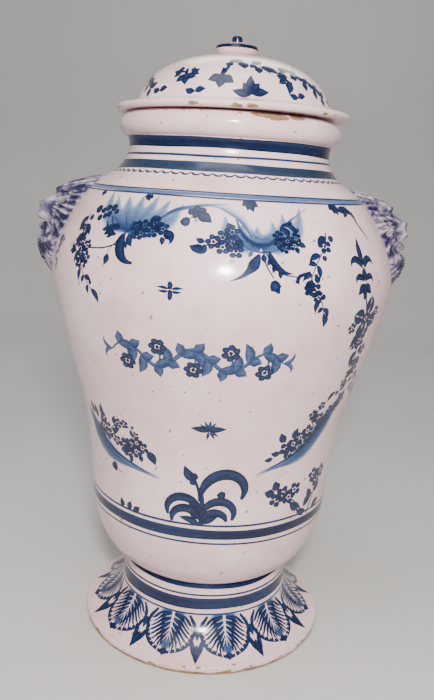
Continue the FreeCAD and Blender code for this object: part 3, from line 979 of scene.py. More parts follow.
for centre in (0, 122, 241):
    pen = Pen(lid_sheet, centre, 1, 3 + centre)
    spot = pen.spot
    trefoil(pen, spot(-34, 440.5), -75, 0.9)
    trefoil(pen, spot(-39, 443), 175, 0.7)
    trefoil(pen, spot(-30, 442.5), 40, 0.6)
    trefoil(pen, spot(-11, 440), -95, 1.05)
    garland = pen.line((-7, 450.5), (1, 451), (9, 450), (17, 449.5), (27, 446))
    for k, place in enumerate(garland):
        pen.leaf(place, -20 + 60 * (-1) ** k, 9.5, 2.8, 0.05)
        pen.berry(pen.toward(place, -100, 3), 2.1, 0.7)
    arch = pen.line((-9.5, 442), (-8, 447), (-6, 451), (2, 451.5))
    lid_sheet.brush(arch, (0.9, 1.3, 1.6, 1.0), (0.9,), LEAFY)
    pen.leaves((12, 448, -95, 8, 2.5, 0), (17, 449, -45, 12, 2.6, 0))
    trefoil(pen, spot(28, 440.5), 150, 0.75)
    pen.leaves((29.5, 440, -100, 11, 2.6, 0.1), (33, 442, 25, 9, 2.2, 0))
    chain = pen.line((36, 446), (43, 441), (51, 437), (58, 433))
    lid_sheet.brush(chain, (0.5, 0.4), (0.8,))
    for k, place in enumerate(chain):
        for part in (60, -60, 150):
            pen.leaf(place, -30 + part, 8, 2.3, 0)
    base = spot(6, 428.6)
    for angle, long in ((90, 13), (125, 9), (55, 9), (172, 12), (8, 11)):
        pen.leaf(base, angle, long * 1.15, 2.6, 0.05)
    for turn, level in ((-25, 428.8), (34, 429), (-50, 430)):
        pen.leaf(spot(turn, level), 165, 8, 2.0, 0.1)
        pen.leaf(spot(turn, level), 15, 8, 2.0, 0.1)
print("the lid's paint has", lid_sheet.count, "corners")

# %% [markdown]
# ## Chips
# Tin glaze is brittle, so it flakes from every edge that gets knocked: the rim, the lid's flange, the
# foot. A chip is a dab like the others, but it bares the clay, and the wall is sunk a little there.

# %% Chips and flakes
def chips(sheet, seed, places):
    """Flakes round an edge: (level, how many, smallest, largest, from turn, to turn)."""
    chance = random.Random(seed)
    for level, count, small, large, first, last in places:
        for _ in range(count):
            turn = chance.uniform(first, last)
            up = sheet.wall.level(level + chance.uniform(-0.6, 0.6))
            wide = chance.uniform(small, large)
            tall = wide * chance.uniform(0.3, 0.55)
            where = (ROLL * math.radians(turn), up)
            sheet.blob(where, wide, tall, 0.5, 1.0, BARE, 11, chance.uniform(0.1, 0.28))


RIM, FOOT_EDGE, FLANGE = 415.2, 2.4, 419.2
body_chips = [(RIM, 8, 2.5, 8.0, 8, 32), (RIM, 5, 1.0, 2.5, -60, 60), (RIM, 12, 1.0, 4.0, 90, 280)]
body_chips += [(FOOT_EDGE, 26, 1.5, 5.0, -180, 180), (FOOT_EDGE + 1.6, 10, 0.8, 2.2, -60, 60)]
body_chips += [(6.2, 2, 1.4, 2.6, -12, -2), (6.8, 1, 1.4, 2.4, 8, 14), (9.2, 2, 0.8, 1.2, -60, -38)]
chips(body_sheet, 4, body_chips)
lid_chips = [(FLANGE, 5, 1.6, 4.6, -34, 14), (419.0, 4, 1.0, 2.2, 10, 60), (FLANGE, 9, 1.0, 3.5, 70, 310)]
chips(lid_sheet, 6, lid_chips)
for where, rows in (("jar", body_chips), ("lid", lid_chips)):
    print("the", where, "has", sum(row[1] for row in rows), "chips")

# %% [markdown]
# ## Inlaying the paint
# The flat map of a piece is a rectangle: once round the jar one way, once along the whole profile the
# other way. Blender's constrained Delaunay triangulation takes a grid of wall points and every stroke
# triangle at once, cuts them where they cross, and says which strokes each new triangle lies in. The
# rectangle is then rolled up, its edges are welded, and every corner keeps the strength of its paint
# and the direction that the true wall faces.

# %% Cut the flat map along the strokes
COLUMNS = 112
WELD = 2e-6
CHIP_DEPTH = 0.45
OUTSIDE_FIRST, PAD = 4.0, 0.006
HALF_TURN, QUARTER_TURN = TURN / 2, TURN / 4


def placed(name, data):
    """An object for a mesh, a light or a camera, put in the scene."""
    thing = bpy.data.objects.new(name, data)
    bpy.context.collection.objects.link(thing)
    return thing


def store(mesh, label, kind, domain, values):
    """Write an attribute on a mesh's points or on its corners."""
    layer = mesh.attributes.new(label, kind, domain)
    field = "vector" if kind == "FLOAT_VECTOR" else "value"
    layer.data.foreach_set(field, np.array(values, np.float32).ravel())


def flat_map(profile, spots, triangles):
    """The cut-up rectangle: its points, its triangles and the strokes that each lies in."""
    columns = np.linspace(-HALF_TURN, HALF_TURN, COLUMNS + 1)
    rows = profile.at
    grid = [(x, y) for y in rows for x in columns]
    wide = COLUMNS + 1
    edges = []
    for j in np.flatnonzero(profile.sharp).tolist():
        edges += [(j * wide + i, j * wide + i + 1) for i in range(COLUMNS)]
    for i in (0, COLUMNS // 4, 3 * COLUMNS // 4, COLUMNS):
        edges += [(j * wide + i, (j + 1) * wide + i) for j in range(len(rows) - 1)]
    points = [Vector(p) for p in grid] + [Vector(p) for p in spots]
    faces = [[int(v) + len(grid) for v in t] for t in triangles]
    out = delaunay_2d_cdt(points, edges, faces, 0, 1e-4, True)
    return np.array([tuple(v) for v in out[0]]), out[2], out[5]

# %% The strokes that reach a piece
def sheet_for(name, sheet, wall):
    """The strokes that reach one piece, measured along its own profile."""
    if sheet is None or not sheet.spots:
        return np.zeros((0, 2)), np.zeros(0), np.zeros((0, 3), int), np.zeros(0, int)
    start, reach = wall.spans[name]
    end = wall.outside_end(profiles[name])
    spots = np.concatenate(sheet.spots)
    spots[:, 1] += start - reach
    strengths, kinds = np.concatenate(sheet.strengths), np.concatenate(sheet.kinds)
    triangles = np.concatenate(sheet.triangles)
    heights = spots[triangles][:, :, 1]
    near = (heights.max(axis=1) > start) & (heights.min(axis=1) < end)
    near &= (heights.min(axis=1) > 0.2) & (heights.max(axis=1) < profiles[name].length - 0.2)
    triangles, kinds = triangles[near], kinds[near]
    across = spots[triangles][:, :, 0]
    copies = [(spots, triangles, kinds, strengths)]
    over, under = across.max(axis=1) > HALF_TURN, across.min(axis=1) < -HALF_TURN
    for past, shift in ((over, -TURN), (under, TURN)):
        moved = spots + np.array([shift, 0.0])
        copies.append((moved, triangles[past], kinds[past], strengths))
    count = 0
    parts = []
    for spots, triangles, kinds, strengths in copies:
        used, index = np.unique(triangles, return_inverse=True)
        parts.append((spots[used], strengths[used], index.reshape(-1, 3) + count, kinds))
        count += len(used)
    return tuple(np.concatenate([part[i] for part in parts]) for i in range(4))

# %% How strong the paint is at a corner
def shares(points, a, b, c):
    """How far each point is on its triangle, from its first corner towards the others."""
    area = (b[:, 0] - a[:, 0]) * (c[:, 1] - a[:, 1]) - (c[:, 0] - a[:, 0]) * (b[:, 1] - a[:, 1])
    area = np.where(np.abs(area) < 1e-9, 1e9, area)[:, None]
    dx, dy = points[:, :, 0] - a[:, None, 0], points[:, :, 1] - a[:, None, 1]
    u = (dx * (c - a)[:, None, 1] - dy * (c - a)[:, None, 0]) / area
    v = (dy * (b - a)[:, None, 0] - dx * (b - a)[:, None, 1]) / area
    return u, v, area[:, 0] < 1e8


def paint_at(corners, owners, spots, strengths, triangles, kinds):
    """The strength of each kind of paint at every corner of every triangle."""
    clear = np.ones((4, len(corners), 3))
    pairs = [(f, t) for f, own in enumerate(owners) for t in own]
    if pairs:
        f, t = np.array(pairs).T
        middle = corners[f].mean(axis=1, keepdims=True)
        u, v, real = shares(middle, *(spots[triangles[t, i]] for i in range(3)))
        inside = real & (u[:, 0] > -0.01) & (v[:, 0] > -0.01) & (u[:, 0] + v[:, 0] < 1.01)
        f, t = f[inside], t[inside]
        u, v, real = shares(corners[f], *(spots[triangles[t, i]] for i in range(3)))
        u, v = np.clip(u, 0, 1), np.clip(v, 0, 1)
        ink = strengths[triangles[t]]
        value = ink[:, :1] * np.clip(1 - u - v, 0, 1) + ink[:, 1:2] * u + ink[:, 2:] * v
        for kind in range(4):
            own = kinds[t] == kind
            np.minimum.at(clear[kind], f[own], 1 - np.clip(value[own], 0, 1))
    return 1 - clear

# %% A flat map for the export
def atlas(profile, x, y, middle, start, end):
    """Where a corner lies on the piece's own map: front outside, back outside, and the rest."""
    front_half = np.abs(middle[:, 0]) < QUARTER_TURN
    outside = (middle[:, 1] > start) & (middle[:, 1] < end)
    rest = profile.length - (end - start)
    u = np.where(front_half[:, None], x + QUARTER_TURN, np.mod(x, TURN) - QUARTER_TURN) / HALF_TURN
    past = np.where(middle[:, 1:] >= end, y - end + start, y)
    share = OUTSIDE_FIRST * (end - start) / (OUTSIDE_FIRST * (end - start) + rest)
    strip = np.where(outside[:, None], (y - start) / (end - start), past / max(rest, 1e-6))
    height = np.where(outside[:, None], share / 2, (1 - share) / 2)
    base = np.where(outside[:, None], 0, share) + np.where(front_half[:, None], 0, 1) * height
    return np.stack([PAD + u * (1 - 2 * PAD), base + PAD + strip * (height - 2 * PAD)], axis=2)

# %% Turn the flat map into a wall
def rolled(name, sheet=None, wall=None, tilt=None):
    """A painted piece: the profile turned about the axis, with its strokes inlaid."""
    profile = profiles[name]
    start, end = (0.0, profile.length)
    if wall:
        start, end = wall.spans[name][0], wall.outside_end(profile)
    spots, strengths, triangles, kinds = sheet_for(name, sheet, wall)
    flat, faces, owners = flat_map(profile, spots, triangles)
    faces = np.array(faces)
    corners = flat[faces]
    middle = corners.mean(axis=1)
    keep = (np.abs(middle[:, 0]) < HALF_TURN) & (middle[:, 1] > 0) & (middle[:, 1] < profile.length)
    faces, corners, middle = faces[keep], corners[keep], middle[keep]
    owners = [own for own, kept in zip(owners, keep) if kept]
    paint = paint_at(corners, owners, spots, strengths, triangles, kinds)
    outside = (middle[:, 1] > start) & (middle[:, 1] < end)
    paint *= outside[None, :, None]
    nudged = corners[:, :, 1] * 0.97 + middle[:, 1:] * 0.03
    run = np.clip(np.searchsorted(profile.at, nudged, side="right") - 1, 0, len(profile.facing) - 1)
    spans = np.diff(profile.at)
    share = np.clip((nudged - profile.at[run]) / np.maximum(spans[run], 1e-9), 0, 1)[:, :, None]
    ways = np.array([[tuple(a), tuple(b)] for a, b in profile.facing])
    way = ways[run][:, :, 0] * (1 - share) + ways[run][:, :, 1] * share
    angle = corners[:, :, 0] / ROLL
    out, rise = way[:, :, 0], way[:, :, 1]
    facing = np.stack([out * np.sin(angle), -out * np.cos(angle), rise], axis=2)
    facing /= np.maximum(np.linalg.norm(facing, axis=2), 1e-9)[:, :, None]
    radius = np.interp(flat[:, 1], profile.at, profile.radius)
    height = np.interp(flat[:, 1], profile.at, profile.height)
    sunk = np.zeros(len(flat))
    depth = CHIP_DEPTH * np.clip((paint[BARE] - 0.5) / 0.5, 0, 1)
    np.maximum.at(sunk, faces, depth)
    inward = np.zeros((len(flat), 2))
    inward[faces] = way
    radius = np.maximum(radius - sunk * inward[:, 0], 0)
    height = height - sunk * inward[:, 1]
    around = flat[:, 0] / ROLL
    places = np.stack([radius * np.sin(around), -radius * np.cos(around), height], axis=1) * MM
    places = np.clip(places, tuple(cad_box[0]), tuple(cad_box[1]))
    mesh = bpy.data.meshes.new(name + "_glazed")
    mesh.from_pydata(places.tolist(), [], faces.tolist())
    cobalt = paint[COBALT] * (1 - paint[LIFT]) * (1 - paint[BARE])
    for label, values in (("cobalt", cobalt), ("blackish", paint[BLACKISH]), ("bare", paint[BARE])):
        store(mesh, label, "FLOAT", "CORNER", values)
    store(mesh, "facing", "FLOAT_VECTOR", "CORNER", facing)
    own_map = mesh.uv_layers.new(name="OFBake")
    uv = atlas(profile, corners[:, :, 0], corners[:, :, 1], middle, start, end)
    own_map.data.foreach_set("uv", uv.astype(np.float32).ravel())
    return finish_mesh(mesh, tilt)

# %% Weld it, and give it its true normals
def finish_mesh(mesh, tilt=None):
    """Weld the seams, set the smooth normals and make the object."""
    bm = bmesh.new()
    bm.from_mesh(mesh)
    bmesh.ops.remove_doubles(bm, verts=bm.verts, dist=WELD)
    bmesh.ops.dissolve_degenerate(bm, edges=bm.edges, dist=1e-7)
    bmesh.ops.triangulate(bm, faces=[f for f in bm.faces if len(f.verts) > 3])
    open_edges = sum(1 for e in bm.edges if len(e.link_faces) != 2)
    bm.to_mesh(mesh)
    bm.free()
    ways = np.zeros(len(mesh.loops) * 3, np.float32)
    mesh.attributes["facing"].data.foreach_get("vector", ways)
    ways = ways.reshape(-1, 3)
    if tilt:
        mesh.transform(tilt)
        ways = ways @ np.array(tilt.to_3x3()).T
    mesh.attributes.remove(mesh.attributes["facing"])
    mesh.normals_split_custom_set(ways.tolist())
    piece = placed(mesh.name, mesh)
    print(mesh.name, "has", len(mesh.polygons), "triangles and", open_edges, "open edges")
    return piece

# %% Roll up every piece
made = {}
for name in ("foot", "lower_body", "upper_body"):
    made[name] = rolled(name, body_sheet, body_wall)
made["lid"] = rolled("lid", lid_sheet, lid_wall, LID_BACK)
for name in ("lid_bezel", "knob", "knob_button"):
    made[name] = rolled(name, tilt=LID_BACK)

# %% [markdown]
# ## Shader maths
# A socket that knows +, -, * and the rest lets a material be written as sums instead of as rows of
# Math nodes. The class makes a node for each operation. Everything else that a material needs comes
# from its one method, make.

# %% Sockets as numbers
class Value:
    """A socket, or a plain number, that adds Math nodes when it is used in a sum."""

    def __init__(self, tree, socket):
        self.tree, self.socket = tree, socket

    def maths(self, operation, *others, clamp=False):
        node = self.tree.nodes.new("ShaderNodeMath")
        node.operation, node.use_clamp = operation, clamp
        for slot, value in zip(node.inputs, (self, *others)):
            if isinstance(value, Value):
                self.tree.links.new(value.socket, slot)
            else:
                slot.default_value = value
        return Value(self.tree, node.outputs[0])

    def __add__(self, other):
        return self.maths("ADD", other)

    def __sub__(self, other):
        return self.maths("SUBTRACT", other)

    def __mul__(self, other):
        return self.maths("MULTIPLY", other)

    def __rsub__(self, other):
        return self.maths("MULTIPLY_ADD", -1.0, other)

    def __gt__(self, other):
        return self.maths("GREATER_THAN", other)

    __radd__ = __add__
    __rmul__ = __mul__

    def clipped(self):
        return self.maths("ADD", 0.0, clamp=True)

# %% A material under construction
class Finish:
    """A material under construction."""

    def __init__(self, name):
        self.material = bpy.data.materials.new(name)
        self.material.use_nodes = True
        self.tree = self.material.node_tree
        self.tree.nodes.clear()

    def make(self, kind, settings=None, stops=None, output=0, **sockets):
        """A node: its settings first, then a ramp's stops, then the values of its sockets."""
        node = self.tree.nodes.new("ShaderNode" + kind)
        for key, value in (settings or {}).items():
            setattr(node, key, value)
        if stops:
            ramp = node.color_ramp
            while len(ramp.elements) < len(stops):
                ramp.elements.new(0.5)
            for element, (at, colour) in zip(ramp.elements, stops):
                element.position = at
                element.color = (*colour, 1)
        for key, value in sockets.items():
            wanted = key.replace("_", " ")
            slot = next(s for s in node.inputs if s.name == wanted and s.enabled)
            if isinstance(value, Value):
                self.tree.links.new(value.socket, slot)
            else:
                slot.default_value = (*value, 1) if slot.type == "RGBA" else value
        return Value(self.tree, node.outputs[output]) if node.outputs else None

    def place(self):
        """Where a point is on the object, in metres."""
        return self.make("TexCoord", output=3)

    def split(self, vector):
        node = self.make("SeparateXYZ", Vector=vector).socket.node
        return [Value(self.tree, out) for out in node.outputs]

    def painted(self, label):
        return self.make("Attribute", {"attribute_name": label}, output=2)

    def noise(self, vector, scale, detail=3.0, roughness=0.5):
        return self.make("TexNoise", Vector=vector, Scale=scale, Detail=detail, Roughness=roughness)

    def mix(self, factor, a, b):
        """One colour over another."""
        return self.make("Mix", {"data_type": "RGBA"}, output=2, Factor=factor, A=a, B=b)

    def done(self, **sockets):
        shader = self.make("BsdfPrincipled", **sockets)
        self.make("OutputMaterial", Surface=shader)
        return self.material


# %% [markdown]
# ## Tin glaze over brushed cobalt
# The glaze is a thick, glossy, slightly pink white. It pooled and crawled a little, so its colour
# drifts over centimetres, it has pinholes and iron specks, and the light runs over faint ridges that
# the potter's fingers left. Cobalt goes from a grey-blue wash to nearly black where it is thick, and
# it sank into the glaze, so the gloss lies over both. Where the glaze has flaked, the clay is buff,
# rough and dirty. Everything reads the place on the object, so nothing shifts between views.

# %% Colours of glaze, paint and clay
INK_STOPS = (
    (0.0, (0.54, 0.58, 0.68)),
    (0.20, (0.27, 0.34, 0.48)),
    (0.42, (0.085, 0.135, 0.26)),
    (0.65, (0.017, 0.036, 0.108)),
    (0.88, (0.006, 0.013, 0.048)),
    (1.0, (0.004, 0.008, 0.028)),
)
VIOLET_STOPS = (
    (0.0, (0.44, 0.39, 0.44)),
    (0.30, (0.21, 0.185, 0.26)),
    (0.60, (0.062, 0.056, 0.115)),
    (1.0, (0.016, 0.013, 0.040)),
)


WHITE_STOPS = ((0.30, (0.70, 0.465, 0.445)), (0.48, (0.82, 0.585, 0.60)), (0.66, (0.87, 0.67, 0.705)))
CLAY_STOPS = ((0.25, (0.15, 0.085, 0.040)), (0.5, (0.30, 0.185, 0.095)), (0.75, (0.46, 0.33, 0.20)))
WIPED_STOPS = ((0.30, (0.30, 0.19, 0.11)), (0.5, (0.55, 0.42, 0.32)), (0.7, (0.68, 0.57, 0.50)))
# A darker, browner white for the masks: partly their own grey-violet wash, partly painted shade for the
# jar's sides where they stand.
MASK_WASH_AND_SHADE = (0.44, 0.33, 0.33)
BLACKER_BLUE = (0.020, 0.036, 0.045)
IRON_BROWN = (0.16, 0.085, 0.045)
PINHOLE_BROWN = (0.30, 0.22, 0.17)
THROWN, LUMPY, SLUMPED = 0.00022, 0.00042, 0.0009

print("the cobalt goes through", len(INK_STOPS), "shades")

# %% One glaze for every painted piece
def tin_glaze(name, clay_foot=False, all_blue=0.0, blue_band=None, inks=INK_STOPS, blotched_and_shaded=False):
    """The jar's glaze; a piece may stand on bare clay, or have a blue band or be blue all over. The masks'
    glaze is blotched, and darker and browner all over: partly their own wash, partly painted shade.
    """
    f = Finish(name)
    place = f.place()
    x, y, z = f.split(place)
    angle = y.maths("ARCTAN2", x)
    broad = f.noise(place, 14.0, 3.0)
    cloudy = f.noise(place, 46.0, 4.0, 0.6)
    fine = f.noise(place, 420.0, 2.0)
    speck = f.noise(place, 210.0, 1.0)
    white = f.make("ValToRGB", stops=WHITE_STOPS, Fac=broad * 0.6 + cloudy * 0.4)
    around = f.make("CombineXYZ", X=angle * 1.9, Y=z * 90.0, Z=z * 14.0)
    streak = f.noise(around, 7.0, 3.0, 0.6)
    grain = f.noise(place, 900.0, 2.0)
    ink = f.painted("cobalt") if not all_blue else f.painted("cobalt") + all_blue
    if blotched_and_shaded:
        blotch = f.make("MapRange", Value=f.noise(place, 130.0, 3.0), From_Min=0.42, From_Max=0.62)
        ink = (ink * (0.30 + blotch * 0.55) + blotch * 0.32 + 0.15).clipped()
        # The masks get more ink and a darker white all over: partly their own wash, partly painted shade for
        # the jar's sides.
        white = f.mix(0.45, white, MASK_WASH_AND_SHADE)
    if blue_band:
        low, high = blue_band
        ink = (ink + (z > low) * (1 - (z > high))).clipped()
    shade = ink * (0.78 + 0.42 * streak) + (grain - 0.5) * 0.16 * ink
    blue = f.make("ValToRGB", stops=inks, Fac=shade)
    cover = f.make("MapRange", Value=ink, From_Min=0.02, From_Max=0.34)
    colour = f.mix(cover, white, blue)
    colour = f.mix(f.painted("blackish") * 0.62, colour, BLACKER_BLUE)
    spots = f.make("MapRange", Value=speck, From_Min=0.735, From_Max=0.765)
    colour = f.mix(spots * 0.75 * (1 - ink), colour, IRON_BROWN)
    holes = f.make("TexVoronoi", Vector=place, Scale=95.0)
    hole = f.make("MapRange", Value=holes, From_Min=0.075, From_Max=0.035)
    hole = hole * (f.noise(place, 31.0, 1.0) > 0.55)
    colour = f.mix(hole * 0.7 * (1 - ink), colour, PINHOLE_BROWN)
    bare = f.painted("bare") + (fine - 0.5) * 0.35
    flake = f.make("MapRange", Value=bare, From_Min=0.40, From_Max=0.50)
    if clay_foot:
        ragged = 0.0026 + (f.noise(place, 60.0, 3.0) - 0.5) * 0.0045
        worn = f.make("MapRange", Value=ragged - z, From_Min=-0.0003, From_Max=0.0003)
        flake = flake.maths("MAXIMUM", worn)
    clay = f.make("ValToRGB", stops=CLAY_STOPS, Fac=f.noise(place, 330.0, 4.0, 0.65))
    colour = f.mix(flake, colour, clay)
    rough = 0.15 + cloudy * 0.10 + hole * 0.3
    rough = (rough + flake * 0.62).clipped()
    throwing = f.noise(f.make("CombineXYZ", X=angle * 0.25, Z=z * 260.0), 1.0, 1.0)
    relief = throwing * THROWN
    relief = relief + f.noise(place, 70.0, 2.0) * LUMPY + f.noise(place, 24.0, 1.0) * SLUMPED
    relief = relief + fine * 0.00003 - hole * 0.0003 - flake * 0.0002
    relief = relief + flake * (grain - 0.5) * 0.0005 - ink * 0.00002
    bump = f.make("Bump", Strength=0.55, Distance=1.0, Height=relief)
    return f.done(
        Base_Color=colour, Roughness=rough, Normal=bump, Coat_Weight=(1 - flake) * 0.15,
        Coat_Roughness=0.06, IOR=1.46, Specular_IOR_Level=0.4,
    )

# %% Wiped clay, and which piece has what
def worn_clay(name):
    """The locating ring: thin wiped glaze over clay."""
    f = Finish(name)
    place = f.place()
    mottle = f.noise(place, 90.0, 4.0, 0.6)
    colour = f.make("ValToRGB", stops=WIPED_STOPS, Fac=mottle)
    relief = f.noise(place, 500.0, 3.0) * 0.0002 + mottle * 0.0003
    bump = f.make("Bump", Strength=0.6, Distance=1.0, Height=relief)
    return f.done(Base_Color=colour, Roughness=0.35 + mottle * 0.4, Normal=bump)


knob_low, knob_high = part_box("knob")
KNOB_BAND = (knob_high.z - 5.6 * MM, knob_high.z - 2.6 * MM)
glaze = {
    "foot": tin_glaze("tin_glaze_on_the_foot", clay_foot=True),
    "lower_body": tin_glaze("tin_glaze"),
    "knob": tin_glaze("tin_glaze_on_the_knob", blue_band=KNOB_BAND),
    "knob_button": tin_glaze("blue_glaze", all_blue=0.9),
    "lid_bezel": worn_clay("wiped_clay"),
}
for name, piece in made.items():
    piece.data.materials.append(glaze.get(name, glaze["lower_body"]))
print("glazes made:", ", ".join(m.name for m in glaze.values()))

# %% [markdown]
# ## The lion masks
# A lion's head was pressed in a mould and luted on each side of the shoulder, as a grip. It is relief,
# so a height field makes it: a fine grid lies on the wall, and each point stands out from it by a sum
# of soft swellings and dents. A smooth curve gives the head's profile from beard to crest, and two
# more give its width and how far the muzzle stands out. The back of the grid is sunk in the wall, so
# that no gap shows under the edge.

# %% The head's own measures
ACROSS, UPWARD = 64, 120
MASK_LOW, MASK_HIGH = 291.5, 369.5
SUNK = 2.2
STAND_LEVELS = (291, 295, 303, 312, 318, 324, 331, 337, 343, 346, 350, 354, 358, 362, 366, 370)
STAND_BEARD = (0.6, 3.6, 9.0, 14.6, 15.0, 14.8)
STAND_MUZZLE = (19.0, 23.5, 27.4, 28.2, 24.6)
STAND_BROW = (21.8, 22.4, 21.0, 14.0, 4.0)
STAND_OUT = STAND_BEARD + STAND_MUZZLE + STAND_BROW
WIDTH_LEVELS = (291, 296, 304, 314, 326, 340, 352, 360, 366, 370)
WIDTH_HALF = (5.0, 10.0, 15.5, 20.5, 24.0, 25.0, 23.5, 19.5, 13.0, 5.0)


FEATURES = {
    "brow": (3.6, 7.6, 357.5, 4.4, 2.6),
    "eye socket": (-4.6, 7.2, 351.5, 3.2, 2.6),
    "eyeball": (2.9, 7.2, 351.5, 1.9, 1.6),
    "muzzle": (3.0, 4.6, 336.5, 4.0, 3.6),
    "cheek": (2.0, 12.5, 343, 4.0, 5.0),
    "ear": (4.8, 16.5, 360, 3.4, 3.6),
    "hollow of the ear": (-3.2, 16.5, 359.5, 1.5, 2.0),
    "nose": (1.6, 0, 346, 4.6, 2.2),
    "nostril": (-2.2, 2.9, 343.6, 1.2, 1.1),
    "lower lip": (2.2, 0, 327.0, 6.0, 2.6),
    "groove under the nose": (-0.9, 0, 338, 0.7, 4.5),
}
STAINS = {
    "pupil": (0.9, 7.2, 351.5, 1.5, 1.2),
    "nostril": (0.6, 2.9, 343.6, 1.3, 1.2),
    "eyelid": (0.5, 7.6, 355.0, 4.4, 0.9),
    "inside of the ear": (0.45, 16.5, 359.5, 1.8, 2.2),
    "fold beside the muzzle": (0.3, 9.5, 338, 1.4, 5.0),
}

print("the head is", MASK_HIGH - MASK_LOW, "mm tall and", 2 * max(WIDTH_HALF), "mm wide")

# %% The height field
def bump(y, z, at_y, at_z, wide, tall):
    """A soft swelling on both sides of the face, 1 at its middle."""
    return math.exp(-(((abs(y) - at_y) / wide) ** 2) - ((z - at_z) / tall) ** 2)


def lock_wave(y, z):
    """Combed hair: ridges that fan out from the brow and fall into the beard."""
    fan = math.atan2(z - 343, abs(y) + 1e-6)
    combed = math.sin(15 * fan + 0.25 * math.hypot(y, z - 343) * 0.9)
    hanging = math.sin(1.35 * abs(y) + 0.35 * math.sin(z * 0.22) * 3)
    share = min(max((324 - z) / 10, 0), 1)
    return combed * (1 - share) + hanging * share


def stand(y, z):
    """How far the head stands out from the wall, and how dark the paint is there."""
    whole = float(np.interp(z, STAND_LEVELS, STAND_OUT))
    half = float(np.interp(z, WIDTH_LEVELS, WIDTH_HALF))
    dome = max(1 - (y / half) ** 2, 0.0) ** 0.55
    snout = math.exp(-((y / (7.5 + 0.10 * abs(z - 335))) ** 4))
    face = min(max((z - 318) / 8, 0), 1)
    height = whole * dome * (1 - 0.42 * face) + whole * 0.42 * face * snout
    hair = 1 - math.exp(-((abs(y) / 12.5) ** 4) - ((z - 344) / 17) ** 4)
    wave = lock_wave(y, z)
    height += 2.5 * (1 - 2 * abs(wave) ** 0.7) * hair * min(dome, 0.8)
    height += sum(out * bump(y, z, *where) for out, *where in FEATURES.values())
    mouth = 332.0 - 0.05 * y * y
    height -= 3.6 * math.exp(-(((z - mouth) / 1.3) ** 2) - (y / 9.5) ** 6)
    ink = 0.95 * min(max(abs(wave) - 0.35, 0) * 1.6, 1) * hair
    ink += 0.45 * max(math.sin(0.31 * z + 0.5 * y) * math.sin(0.43 * y - 0.2 * z), 0)
    ink += 0.65 * math.exp(-(((z - mouth) / 1.1) ** 2) - (y / 10) ** 6)
    ink += sum(dark * bump(y, z, *where) for dark, *where in STAINS.values())
    return max(height, 0.3), min(ink, 1.0)


shoulder = profiles["upper_body"]
rise = [shoulder.rising_to(z) for z in (MASK_LOW - 3, MASK_HIGH + 3)]
OUTER = (shoulder.at > rise[0] - 4) & (shoulder.at < rise[1] + 4)


def wall_out(y, z):
    """How far out the shoulder is behind a point of the head."""
    radius = float(np.interp(z, shoulder.height[OUTER], shoulder.radius[OUTER]))
    return math.sqrt(max(radius**2 - y**2, 1.0))

# %% A closed mesh of the head
def outward(mesh, join=0.0):
    """Join corners that meet, and turn every face outwards."""
    bm = bmesh.new()
    bm.from_mesh(mesh)
    if join:
        bmesh.ops.remove_doubles(bm, verts=bm.verts, dist=join)
    bmesh.ops.recalc_face_normals(bm, faces=bm.faces)
    if bm.calc_volume(signed=True) < 0:
        bmesh.ops.reverse_faces(bm, faces=bm.faces)
    bm.to_mesh(mesh)
    bm.free()
    mesh.shade_smooth()
    return mesh


def mask_relief(side, limit):
    """The head on one side of the jar, as a closed mesh in metres."""
    rows, inks = [], []
    for back in (False, True):
        for j in range(UPWARD + 1):
            z = MASK_LOW + (MASK_HIGH - MASK_LOW) * j / UPWARD
            half = float(np.interp(z, WIDTH_LEVELS, WIDTH_HALF))
            half *= 1 + 0.035 * math.sin(z * 0.9) + 0.02 * math.sin(z * 2.1)
            for i in range(ACROSS + 1):
                y = half * math.sin(math.pi / 2 * (2 * i / ACROSS - 1)) * 0.999
                height, ink = stand(y, z)
                out = wall_out(y, z) + (-SUNK if back else height)
                rows.append((side * min(out, limit), y, z))
                inks.append(0.0 if back else ink)
    wide = ACROSS + 1
    layer = wide * (UPWARD + 1)
    faces = []
    for j in range(UPWARD):
        for i in range(ACROSS):
            a = j * wide + i
            faces.append((a, a + 1, a + wide + 1, a + wide))
            faces.append(tuple(v + layer for v in (a, a + wide, a + wide + 1, a + 1)))
    ring_round = list(range(wide)) + [j * wide + ACROSS for j in range(1, UPWARD + 1)]
    ring_round += [UPWARD * wide + i for i in range(ACROSS - 1, -1, -1)]
    ring_round += [j * wide for j in range(UPWARD - 1, 0, -1)]
    for a, b in zip(ring_round, ring_round[1:] + ring_round[:1]):
        faces.append((b, a, a + layer, b + layer))
    mesh = bpy.data.meshes.new("lion_mask")
    mesh.from_pydata([tuple(Vector(r) * MM) for r in rows], [], faces)
    store(mesh, "cobalt", "FLOAT", "POINT", inks)
    return outward(mesh)

# %% Press the two heads
masks = {}
for side, hand in ((1, "right"), (-1, "left")):
    low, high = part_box("mask_" + hand)
    limit = max(abs(low.x), abs(high.x)) / MM - 0.05
    masks[hand] = placed("lion_mask_" + hand, mask_relief(side, limit))
    print(masks[hand].name, "has", len(masks[hand].data.polygons), "faces")
    print("  and may reach", round(limit, 1), "mm out")

# %% [markdown]
# ## Locks of the mane
# Round the pressed relief, the modeller laid separate curled locks of clay. They repeat, so Geometry
# Nodes make them: the tree draws one lock as a tapering tube along a curve, puts a copy of it at each
# root with its own turn and size, and stains its ends blue. A root is a point of a small mesh that
# carries its turn and its size. The result becomes a plain mesh and the modifier goes.

# %% The tree that draws a lock
LOCK_SIZES = {"Length": 0.0165, "Thickness": 0.0021, "Hook": 0.0052, "Unevenness": 0.22}


